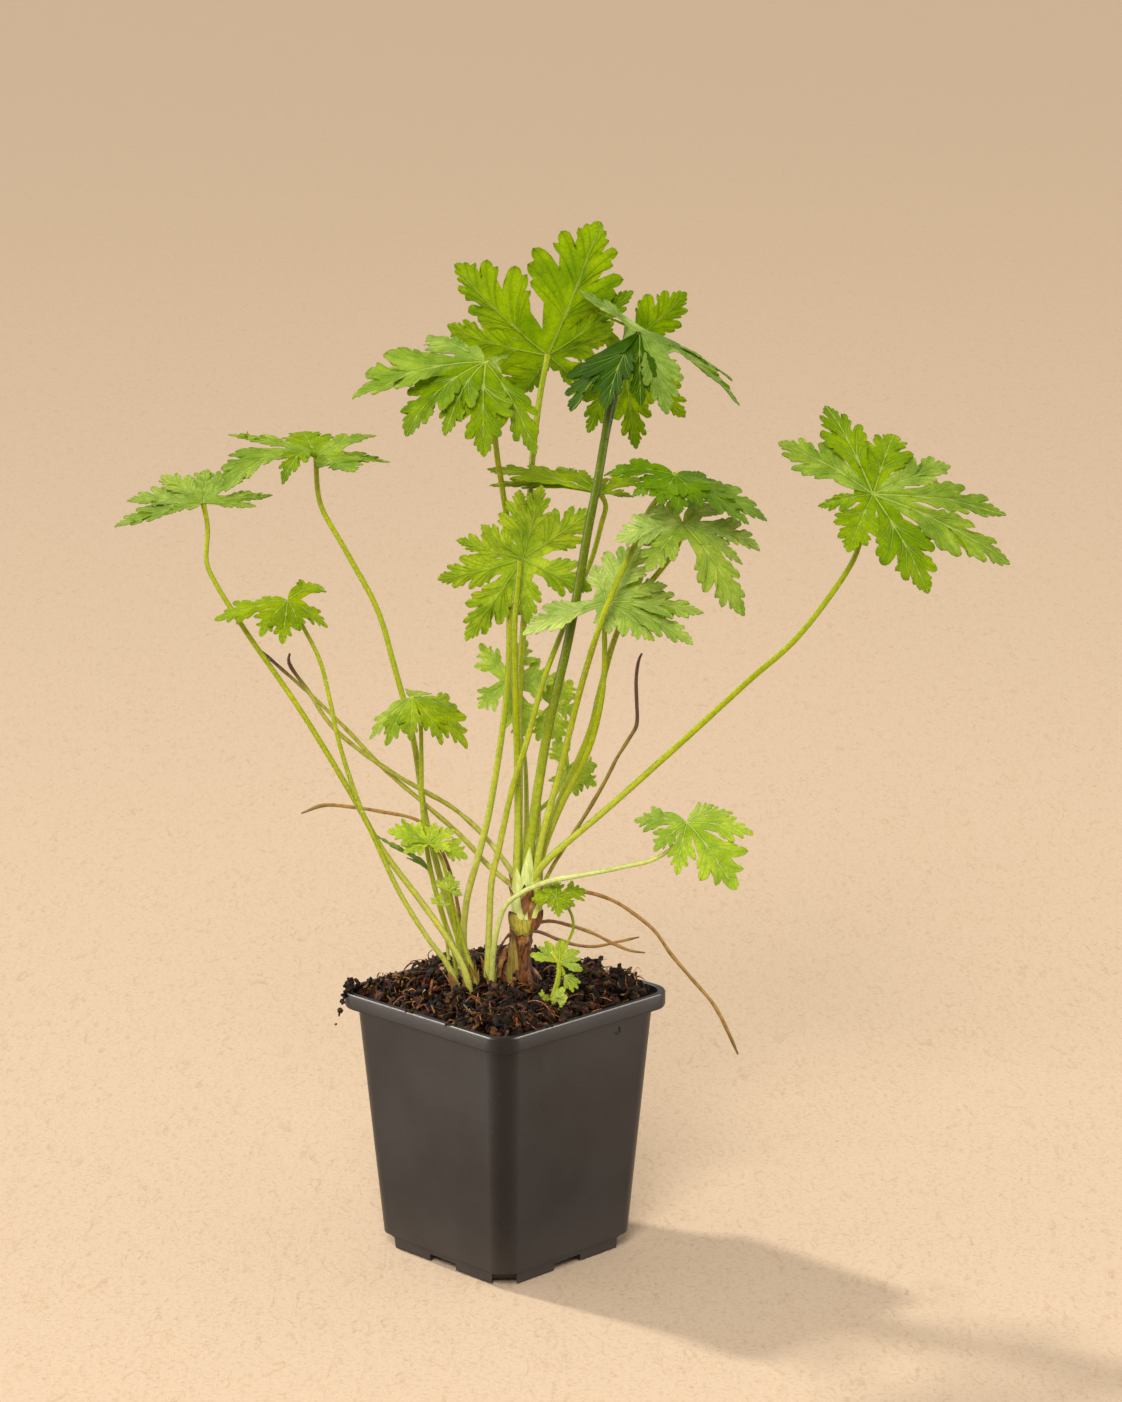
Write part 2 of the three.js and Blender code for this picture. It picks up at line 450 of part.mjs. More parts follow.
const CLUMP_LEAVES = {
  leaf_upper_left: {
    material: MATERIALS.leaf, hub: [-6, -14, 336], up: [-0.1, -0.35, 0.93], arch: 0.11,
    tips: [[-27, 10, 342], [-53, -18, 323], [-36, -30, 313], [-15, -38, 312], [-6, -41, 306], [12, -36, 306], [8, 12, 336]],
    stalk: [[-6, -13.7, 336], [-4.5, -10, 322], [-3, -7, 310], [-2, -4, 299.5], [-0.5, 0, 289], [2, 4.5, 268],
      [2, 4, 239], [1, 2, 213], [-5.5, -3, 169], [-9, -5, 154.5], [-14, -6.5, 135.5], [-15, -6.5, 118],
      [-12, -5.5, 108], [-10, -4.5, 97]],
    radius: [1, 1.35],
  },
  leaf_inner_right: {
    material: MATERIALS.leaf, hub: [35, -4, 287], up: [0, -0.2, 0.97], arch: 0.05,
    tips: [[-6, 8, 294], [-5, 6, 288], [20, 20, 293], [31, 14, 290], [50, 8, 291], [47, -5, 286]],
    stalk: [[35, -3.8, 287], [37, 0.5, 282], [35.5, 3, 275], [32, 3.5, 262], [26, 2, 248], [21, -4, 236], [14.5, -11, 220],
      [8.5, -13.5, 198], [3, -14, 180], [-2, -13.5, 157], [-4.5, -12, 145.5], [-5.7, -10.2, 125], [-6.3, -9.2, 108],
      [-6.5, -9, 97]],
    radius: [0.9, 1.3],
  },
  leaf_far_left: {
    material: MATERIALS.paleLeaf, hub: [-108, -5, 284], up: [0, -0.3, 0.95], arch: 0.03, crease: 0.14,
    tips: [[-118, -22, 283], [-137.5, -20, 280], [-126, 8, 290], [-108, 16, 293], [-96, 14, 295], [-83, -4, 286], [-88, -15, 284]],
    stalk: [[-108, -4.8, 284], [-106.5, -5, 275], [-107, -7, 262.5], [-104.5, -8, 256.5], [-93.5, -10, 238.5],
      [-73.5, -14, 209.5], [-55, -17, 178.5], [-44, -17.5, 158], [-30.5, -17.5, 139], [-20, -16.5, 123],
      [-14, -15.5, 110], [-12.5, -15, 97]],
    radius: [0.85, 1.25],
  },
  leaf_left_upper: {
    material: MATERIALS.paleLeaf, hub: [-69, 25, 296], up: [0, -0.1, 0.99], arch: 0.08,
    tips: [[-102, 34, 304], [-95, -12, 289], [-80, -8, 290], [-58, 6, 292], [-42, 28, 294], [-48, 46, 301], [-69, 48, 300]],
    stalk: [[-69, 25, 296], [-69, 25, 287], [-67.5, 24, 278], [-58.5, 19, 262.5], [-46.5, 13, 241], [-41, 9, 223],
      [-33.5, 5, 194], [-29, 2, 164.5], [-22, 0, 136], [-17, -0.5, 119], [-14, -0.8, 107], [-13, -1, 97]],
    radius: [0.95, 1.3],
  },
  leaf_left_middle: {
    material: MATERIALS.leaf, hub: [-77, -20, 251], up: [0.1, -0.4, 0.9], arch: 0.1, pattern: SMALL_EDGE,
    tips: [[-92, -10, 249], [-103, -22, 243], [-88, -31, 240], [-78, -34, 238], [-69, -30, 242], [-61, -20, 243], [-66, -2, 253]],
    stalk: [[-77, -19.7, 251], [-73, -17, 243], [-66, -17, 228.5], [-62.5, -18, 214], [-59, -19.5, 197.5],
      [-52, -21, 175.5], [-46.5, -21, 162.5], [-38, -20.5, 143], [-28, -18, 125], [-20, -14, 112], [-16, -11.5, 97]],
    radius: [0.75, 1.1],
  },
  leaf_left_lower: {
    material: MATERIALS.leaf, hub: [-33, -18, 215], up: [0.1, -0.4, 0.9], arch: 0.14, pattern: SMALL_EDGE,
    tips: [[-49, -24, 201], [-41, -30, 199], [-33, -30, 201], [-22, -28, 199], [-13, -20, 198], [-15, -5, 207], [-31, 6, 212]],
    stalk: [[-33, -17.7, 215], [-30.5, -13, 207], [-30, -10, 190], [-30, -9, 175], [-28, -9, 154], [-24, -8.5, 135],
      [-18.5, -8, 118], [-14.5, -7, 107], [-13.5, -6.5, 97]],
    radius: [0.75, 1.05],
  },
  leaf_small_left: {
    material: MATERIALS.leaf, hub: [-27, -20, 161], up: [0, -0.5, 0.86], arch: 0.08, pattern: SMALL_EDGE,
    tips: [[-42, -24, 167], [-37, -13, 166], [-25, -12.5, 167], [-18, -14, 165], [-13, -21, 156], [-19, -27, 160], [-36, -28, 160]],
    stalk: [[-27, -19.8, 161], [-23.5, -19.5, 157], [-21, -18, 149], [-19, -15.5, 138], [-15, -13, 121],
      [-10.8, -11.8, 106], [-9.5, -11.5, 97]],
    radius: [0.65, 0.9],
  },
  leaf_low_right: {
    material: MATERIALS.leaf, hub: [66, -35, 173], up: [-0.1, -0.6, 0.8], arch: 0.08, pattern: SMALL_EDGE,
    tips: [[47, -28, 172], [54, -42, 164], [62, -48, 157], [83, -50, 152], [90, -36, 169], [83, -28, 175], [76, -26, 177]],
    stalk: [[66, -34.7, 173], [63.5, -30.5, 165], [55, -27, 157.5], [42, -25, 153.5], [27.5, -23, 150], [15, -21.5, 147],
      [6, -20, 142.5], [0.5, -17.5, 137], [-2.5, -15.5, 128], [-4.5, -13.8, 113], [-5, -13, 97]],
    radius: [0.75, 1.15],
  },
  leaf_folded: {
    material: MATERIALS.paleLeaf, hub: [-28, -3, 147], up: [0.5, -0.3, 0.8], arch: 0.04, pattern: SMALL_EDGE,
    tips: [[-34, -9, 152], [-48, -3, 159], [-38, 4, 156]],
    stalk: [[-28, -2.8, 147], [-26, -3, 141], [-22, -4, 128], [-18.5, -4.2, 112], [-16.8, -4.2, 97]],
    radius: [0.5, 0.7],
  },
};

const SEEDLING_LEAVES = {
  seedling_leaf_low: {
    material: MATERIALS.paleLeaf, hub: [20, -20, 118], up: [0, -0.55, 0.83], arch: 0.06, pattern: SMALL_EDGE,
    tips: [[9, -24, 120], [15, -12, 123], [22, -10, 122], [28, -14, 120], [29, -25, 114]],
    stalk: [[20, -19.8, 118], [19.3, -20.3, 111], [17.5, -21.5, 104], [16, -22, 95]],
    radius: [0.55, 0.9],
  },
  seedling_leaf_high: {
    material: MATERIALS.leaf, hub: [19, -19, 140], up: [0, -0.6, 0.8], arch: 0.07, pattern: SMALL_EDGE,
    tips: [[10, -20, 138], [15, -17, 145], [26, -14, 144], [30, -16, 141], [27, -23, 138], [20, -26, 136]],
    stalk: [[19, -18.8, 140], [23, -14, 136], [25, -10, 130], [25, -7.5, 124], [23, -6.5, 117], [20, -10, 108],
      [18, -14.5, 102], [17.5, -15.5, 95]],
    radius: [0.45, 0.65],
  },
};

// Dry stalks of old leaves and brown runners: route, and radius at the free end and at the seat.
const DRY_STALKS = {
  dry_stalk_long: {
    material: MATERIALS.dryStalk, radius: [0.8, 0.8],
    route: [[-89, 0, 229], [-80, -1, 221], [-70, -1.5, 212], [-57, -2, 199], [-44, -3, 185], [-31, -3.5, 173.5],
      [-16, 1, 158.5], [-6, 2, 147], [4.2, 0.3, 138.5]],
  },
  dry_stalk_hooked: {
    material: MATERIALS.dryStalk, radius: [0.8, 0.8],
    route: [[-77.5, -7, 229], [-78, -7, 226], [-71, -7, 215], [-62.5, -7.5, 202], [-46.5, -5.5, 188], [-31, -4.8, 178],
      [-19, 2, 169], [-8.5, 3.5, 159], [0, 0.5, 149], [4.5, -0.2, 142]],
  },
  dry_stalk_brown: {
    material: MATERIALS.brownStalk, radius: [0.7, 0.8],
    route: [[-74, -10, 170], [-66, -10, 173], [-55, -9, 172], [-45, -7.5, 170], [-31, -4.5, 165.5], [-24.5, -3.8, 157],
      [-19.5, 1.5, 142], [-16.5, 3.2, 124], [-15, 3.5, 108], [-14.5, 3.5, 97]],
  },
  dry_stalk_right: {
    material: MATERIALS.brownStalk, radius: [0.7, 0.9],
    route: [[50, -14, 226], [48.5, -14, 220], [48.5, -14.5, 201], [43.5, -14, 195], [37.5, -14.5, 182.5], [30, -14.2, 171],
      [23, -13, 159.5], [17.5, -10, 149.5], [14.5, -8.8, 143]],
  },
  runner_long: {
    material: MATERIALS.brownStalk, radius: [1, 1.2],
    route: [[87, 2, 74], [84, 2, 81], [78, 2, 93], [69, 2, 104], [62, 1, 114], [56, 0, 124], [48, -2, 131], [40, -3, 137.5],
      [30, -4, 140], [21, -5, 139], [12, -5.5, 133.5]],
  },
  runner_upper: {
    material: MATERIALS.brownStalk, radius: [0.7, 0.9],
    route: [[52, 2, 113.5], [47, 1, 114.5], [40, -1, 118], [33, -2, 122], [24, -3, 125.5], [16, -4.2, 127.5], [9.3, -5.5, 126]],
  },
  runner_lower: {
    material: MATERIALS.brownStalk, radius: [0.7, 0.9],
    route: [[50, 9, 117.5], [42, 8, 116], [34, 7, 114.5], [27, 5, 115.5], [20, 2, 118.5], [13, -1.5, 122.5], [8, -4.5, 124]],
  },
};

const STALK_STEP = 15;         // mm between the rings of a stalk
const HOLE_CLEARANCE = 0.45;

const lengthOf = (points) => curveThrough(points).getLength();
const stepsFor = (points) => Math.max(4, Math.round(lengthOf(points) / STALK_STEP));
const rod = (points, radius, extra = 0) => stalk(points, radius, stepsFor(points), extra);

// The same rod carried on past its foot, to cut the hole that it stands in.
const holeFor = (points, radius) => {
  const foot = vec(points.at(-1));
  const onward = foot.clone().sub(vec(points.at(-2))).normalize();
  const beyond = foot.addScaledVector(onward, GAP);
  return rod([...points.slice(0, -1), beyond.toArray()], radius, HOLE_CLEARANCE);
};

const leafSolid = (leaf) => rod(leaf.stalk, leaf.radius).add(blade(leaf));

function leafyStem({ stem, stemRadius, branch, branchRadius }, blades) {
  return join([rod(stem, stemRadius), rod(branch, branchRadius), ...blades.map(blade)]);
}

// Upright body of elliptical rings: [height, centre x, centre y, half-width along X, along Y].
function ellipticalBody(levels, sides) {
  return solidOf(skin(levels.map(([z, x, y, rx, ry]) => Array.from({ length: sides }, (_, i) => {
    const angle = (i / sides) * 2 * Math.PI;
    return new THREE.Vector3(x + rx * Math.cos(angle), y + ry * Math.sin(angle), z);
  }))));
}

// Two bare roots that leave the column and run down into the soil.
const ROOTS = [
  [[4.5, -7.5, 121], [-1, -8.5, 113], [-1.5, -7, 100], [-1, -6.5, 96]],
  [[4.5, -5.5, 116], [0.5, -5.5, 110], [0.2, -4.5, 96]],
];
const ROOT_RADIUS = [0.7, 0.6];

function rootstockSolid() {
  const { x, y, foot, top, radius } = ROOTSTOCK;
  const column = ellipticalBody([
    [foot, x - 0.5, y, radius * 0.9, radius * 0.9],
    [104, x - 0.3, y, radius, radius],
    [112, x + 0.2, y, radius * 0.95, radius],
    [120, x + 0.4, y, radius * 1.08, radius * 1.15],
    [top, x + 0.7, y, radius * 1.1, radius * 1.25],
  ], 10);
  const scale = rod([[x + 2, y, 119], [x + 5.5, y - 0.5, 124], [x + 8, y - 0.5, 130.5]], [1.6, 0.4]);
  return join([column, scale, ...ROOTS.map((route) => rod(route, ROOT_RADIUS))]);
}

function crownSolid() {
  const { x, y, foot, top } = CROWN;
  return ellipticalBody([
    [foot, x - 0.8, y - 0.3, 4.4, 5.2],
    [132, x - 0.6, y - 0.2, 5, 6.6],
    [138, x, y, 5.9, 8.6],
    [144, x + 0.3, y, 6.6, 9.6],
    [top, x + 0.3, y, 6.2, 9],
  ], 14);
}

const stems = (leaves) => Object.values(leaves).map((leaf) => holeFor(leaf.stalk, leaf.radius));
const dryHoles = (...names) => names.map((name) => holeFor(DRY_STALKS[name].route, DRY_STALKS[name].radius));

export function build() {
  const plant = new THREE.Group();
  const put = (name, solid, material) => plant.add(meshOf(name, solid, material));

  const crownTools = [
    ...stems(CROWN_LEAVES),
    holeFor(SHOOT_UPPER_RIGHT.stem, SHOOT_UPPER_RIGHT.stemRadius),
    holeFor(INNER_SPRAY.stem, INNER_SPRAY.stemRadius),
    ...dryHoles('dry_stalk_long', 'dry_stalk_hooked', 'dry_stalk_right', 'runner_long'),
  ];
  const rootstock = cut(rootstockSolid(), dryHoles('runner_upper', 'runner_lower'));
  const rootstockHole = ellipticalBody([
    [ROOTSTOCK.foot - GAP, ROOTSTOCK.x - 0.5, ROOTSTOCK.y, 4.6, 4.6],
    [112, ROOTSTOCK.x, ROOTSTOCK.y, 4.6, 4.6],
  ], 10);
  const soilTools = [
    ...stems(CLUMP_LEAVES), ...stems(SEEDLING_LEAVES), ...dryHoles('dry_stalk_brown'), rootstockHole,
    ...ROOTS.map((route) => holeFor(route, ROOT_RADIUS)),
  ];

  put('nursery_pot', potSolid(), MATERIALS.pot);
  put('potting_soil', mainBody(cut(join([soilBed(), ...clods()]), soilTools)), MATERIALS.soil);
  put('rootstock', rootstock, MATERIALS.wood);
  put('crown_sheath', cut(crownSolid(), crownTools), MATERIALS.sheath);
  Object.entries({ ...CROWN_LEAVES, ...CLUMP_LEAVES, ...SEEDLING_LEAVES }).forEach(([name, leaf]) => {
    put(name, leafSolid(leaf), leaf.material);
  });
  put('shoot_upper_right', leafyStem(SHOOT_UPPER_RIGHT, [SHOOT_UPPER_RIGHT.front, SHOOT_UPPER_RIGHT.rear]), SHOOT_UPPER_RIGHT.material);
  put('spray_inner', leafyStem(INNER_SPRAY, [INNER_SPRAY.upper, INNER_SPRAY.lower]), INNER_SPRAY.material);
  Object.entries(DRY_STALKS).forEach(([name, { route, radius, material }]) => {
    put(name, rod(route, radius), material);
  });
  return plant;
}

export default build();
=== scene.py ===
"""A hardy geranium in its square nursery pot.

Finer leaves, stalks, crown, soil and pot stand for the plain solids of the frame, with their
colours and surfaces. Sizes are in millimetres until a mesh is made, and in metres after that.
"""

import math
import random

import bmesh
import bpy
import numpy as np
from mathutils import Matrix, Vector, noise


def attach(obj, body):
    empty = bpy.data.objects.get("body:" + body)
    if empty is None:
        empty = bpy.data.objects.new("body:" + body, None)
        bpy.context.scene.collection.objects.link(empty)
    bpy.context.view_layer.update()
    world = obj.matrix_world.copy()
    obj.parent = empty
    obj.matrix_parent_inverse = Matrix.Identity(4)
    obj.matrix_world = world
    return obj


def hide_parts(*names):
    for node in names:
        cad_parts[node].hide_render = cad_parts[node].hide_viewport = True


MM = 0.001

# ------------------------------------------------------------------ sizes of the pot and the soil

QUARTER = math.pi / 2
POT_TURN = math.pi / 4

POT_HEIGHT = 100
RIM_WIDTH = 90
RIM_BAND = 6
RIM_WALL = 2.2
BODY_TOP_WIDTH = 82.4
BODY_FOOT_WIDTH = 69.2
SKIRT_WIDTH = 65.2
SKIRT_HEIGHT = 5.4
SKIRT_CORNER = 8
POT_WALL = 1.3
FLOOR_UNDERSIDE = 1.5
FLOOR_THICKNESS = 1.2
# Openings at the pot's foot: width, height, and how deep the cutter goes.
SIDE_NOTCH = (14, 2.6, 10)
CORNER_GAP = (9, 3.9, 6)
MOULD_MARK = (41.8, 41.8 - 57.9, 89)

SOIL_SEED = 20417
SOIL_RIM_LEVEL = 97
SOIL_CROWN = 8.5
SOIL_REACH = 84.6
SOIL_CORNER = 7.7
SCATTER_CORNER = 7
SOIL_ROUND = 220
SOIL_RINGS = 62
# Levels at which the side of the bed lies against the walls of the pot.
SOIL_DEPTHS = (60, 93.5)
CLODS = 210
FINE_CRUMBS = 560
COARSE_CRUMBS = 210
BARK_STRANDS = 430
ROOTLETS = 440
BARK_CHIPS = 120
# Crumbs that spill over the left corner of the rim, and places of the few on its front edges.
SPILLED_CRUMBS = 64
SPILL_X = -58.2
RIM_CRUMBS = [(-35, -27.6), (-19, -43.4), (-34, -28.6), (16, -45.6), (21, -40)]
# Clods heaped up towards the back: x, y, radius and height.
SOIL_HEAPS = [
    (-27, 24, 13, 4.6), (-45, 2, 9, 4.2), (-10, 39, 10, 2.6), (12, 36, 9, 1.8), (31, 20, 12, 4.8), (45, 1, 9, 5.0),
]

# ------------------------------------------------------------------ sizes of the plant

PLANT_SEED = 7151
CROWN_AXIS = (8, -6)
CROWN_FOOT = 127.4
ROOTSTOCK = {"x": 6.5, "y": -6.5, "radius": 4}
STALK_SWELL = 1.3
HAIRS_PER_MM = 6
HAIR_LENGTH = (0.5, 1.2)
HAIR_RADIUS = 0.035

# Each leaf: its hub, the way its upper face looks, its lobe tips in order round the hub, and its
# stalk from the hub down to its seat, with the stalk's radius at the top and at the foot. For each
# lobe, "wide" is its width, or that of its two halves, "arches" is how far it rises between hub and
# tip, and its sheen value is a painted silvery sheen, or below 0 painted shade. "back" makes the
# underside paler. "cut" is how near the hub its notches end.
CROWN_LEAVES = {
    "leaf_top": {
        "finish": "fresh", "hub": [16, 22, 334], "up": [0, 0.9, 0.45], "arch": -0.06, "cut": 0.25,
        "wide": [(0.5, 1.9), (1.6, 1), (1, 1.25), (1.15, 1.3), (1, 1), (1, 1), (1, 0.5)],
        "tips": [[6, 38, 317], [-21, 28, 344], [-18, 20, 367], [35, 14, 383], [47, 25, 357], [40, 34, 342],
            [32, 39, 320]],
        "stalk": [[16, 21.8, 334], [13.5, 19, 321.5], [11.5, 17, 307], [10, 15, 292], [8.5, 11, 258],
            [5.5, 6, 209], [5.5, 1, 175], [5.2, -2.5, 152], [5, -3.2, 137]],
        "radius": [1.1, 1.4],
    },
    "leaf_centre": {
        "finish": "bright", "hub": [7, -2, 263], "up": [0, 0.95, 0.3], "arch": -0.03, "cut": 0.26,
        "back": 0.55,
        "wide": [0.9, (1.1, 1.4), (1.4, 1), (1.15, 0.9), (0.9, 0.75), (0.7, 0.85), (0.9, 0.8), (0.85, 1.1),
            (0.9, 0.8)],
        "tips": [[-8, -5, 276], [6, -7, 289], [14, -8, 291], [32, -7, 282], [32, -6, 252], [9, -2, 239],
            [-14, 2, 232], [-24, -1, 255], [-17, -3, 270]],
        "stalk": [[6, -2.2, 262], [5, -6, 252], [4, -7, 240], [4.3, -7.2, 211], [4.8, -8, 189],
            [5, -9, 165], [4.6, -9.2, 150], [4.4, -9, 137]],
        "radius": [1.1, 1.35],
    },
    "leaf_right_upper": {
        "finish": "deep", "hub": [61, -30, 298], "up": [0.05, -0.4, 0.92], "cut": 0.33,
        "silver": [0, 0, 0, 0, 0, 0.15, 0.25, 0.15],
        "arches": [0.09, 0.08, 0.08, 0.08, 0.08, 0.07, 0.03, 0.04],
        "wide": [(0.9, 0.9), 1.4, 1.8, 2, 1.9, 1.3, 1.1, (1.1, 0.8)],
        "tips": [[36, -20, 296], [46, -33, 291], [56, -41, 289], [62, -43, 286], [70, -41, 288],
            [87, -34, 281], [94, -26, 281], [80, -14, 290]],
        "stalk": [[61, -29.7, 298], [56, -20, 289], [52, -14, 282], [48, -15, 272], [43.5, -21, 264],
            [39, -26, 255], [34.5, -29.5, 243.5], [27.5, -18, 217], [20.5, -13.5, 187], [14.5, -12, 164],
            [12, -11.3, 150], [11.5, -11, 137]],
        "radius": [1, 1.35],
    },
    "leaf_right_middle": {
        "finish": "bright", "hub": [64, -28, 280], "up": [0.1, -0.55, 0.82], "arch": 0.09, "cut": 0.28,
        "silver": [0.8, 0.9, 0.4, 0.35, 0.6, 0.8, 0.9],
        "wide": [1.2, 1.1, (1.2, 0.95), (0.8, 0.9), 0.9, 0.9, 1],
        "tips": [[52, -20, 285], [40, -28, 274], [51, -39, 265], [85, -44, 250], [85, -31, 266],
            [92, -24, 270], [75, -10, 284]],
        "stalk": [[64, -27.7, 280], [62.5, -19, 271], [58, -12, 262.5], [53, -9, 255.5], [47.5, -8, 248],
            [41.5, -8, 238], [35, -6, 215], [31.5, -5, 200], [20.5, -3.2, 173.5], [13, -2.6, 157],
            [10.6, -2.5, 149], [10, -2.5, 137]],
        "radius": [1, 1.35],
    },
    "leaf_right_lower": {
        "finish": "pale", "hub": [37, -18, 250], "up": [0, -0.5, 0.86], "cut": 0.29,
        "silver": [0.9, 1, 0.75, 0.55, 0.5, 0.6, 0.6, 0.8],
        "arches": [0.08, 0.05, 0.08, 0.08, 0.08, 0.06, 0.06, 0.08],
        "wide": [1, (0.9, 0.6), 1.3, (1.4, 0.9), 1.3, 1.2, 1.1, 1.2],
        "tips": [[33, -9, 262], [7, -18, 238], [38, -26, 240], [54, -29, 238], [68, -25, 236],
            [72, -18, 246], [59, -13, 255], [49, -5, 268]],
        "stalk": [[37, -17.7, 250], [36.5, -14, 241], [36.5, -13, 228], [35.5, -12, 213], [31, -10, 194],
            [21, -7.5, 172.5], [15, -6.7, 157], [13, -6.5, 149], [12.4, -6.5, 137]],
        "radius": [0.95, 1.25],
    },
    "leaf_far_right": {
        "finish": "fresh", "hub": [133, -5, 287], "up": [0.05, -0.6, 0.8], "arch": 0.05, "cut": 0.26,
        "silver": [0.3, 0, 0, 0.4, 0.25, 0.25, -0.05, 0, 0],
        "wide": [0.95, (1, 0.65), (1.1, 0.95), (1.05, 0.75), (0.75, 0.8), (0.75, 0.85), (0.9, 0.85),
            (1.1, 1.2), (1, 0.5)],
        "tips": [[100, 16, 303], [118, 28, 315], [143, 26, 305], [163, 16, 294], [182, 0, 279],
            [182, -16, 264], [151, -32, 256], [123, -22, 269], [113, -8, 283]],
        "stalk": [[133, -4.7, 287], [130.5, 0, 275], [127.5, 1, 263.5], [122, 0, 254], [105.5, -7, 234],
            [89, -11, 220], [71, -15, 204], [53, -18, 188], [35, -18, 171.5], [24, -16, 161.5],
            [16, -13.5, 153.5], [11.5, -11.5, 147], [9.5, -10, 137]],
        "radius": [1, 1.35],
    },
    "leaf_inner_first": {
        "finish": "pale", "hub": [1, 14, 214], "up": [0, -0.9, 0.4], "arch": 0.08, "small": True,
        "back": 0.4, "silver": 0.35, "wide": [(0.8, 1.2), (1.2, 1.3), 1.3, 1.5, (1.4, 1)],
        "tips": [[-9, 12, 229], [-10, 14, 204], [8, 16, 193], [18, 16, 214], [8, 18, 229]],
        "stalk": [[1, 14.2, 214], [3, 15, 205], [7, 13, 188], [8, 8, 168], [7.6, 3.5, 152],
            [7.5, 1.5, 137]],
        "radius": [0.7, 1.1],
    },
}

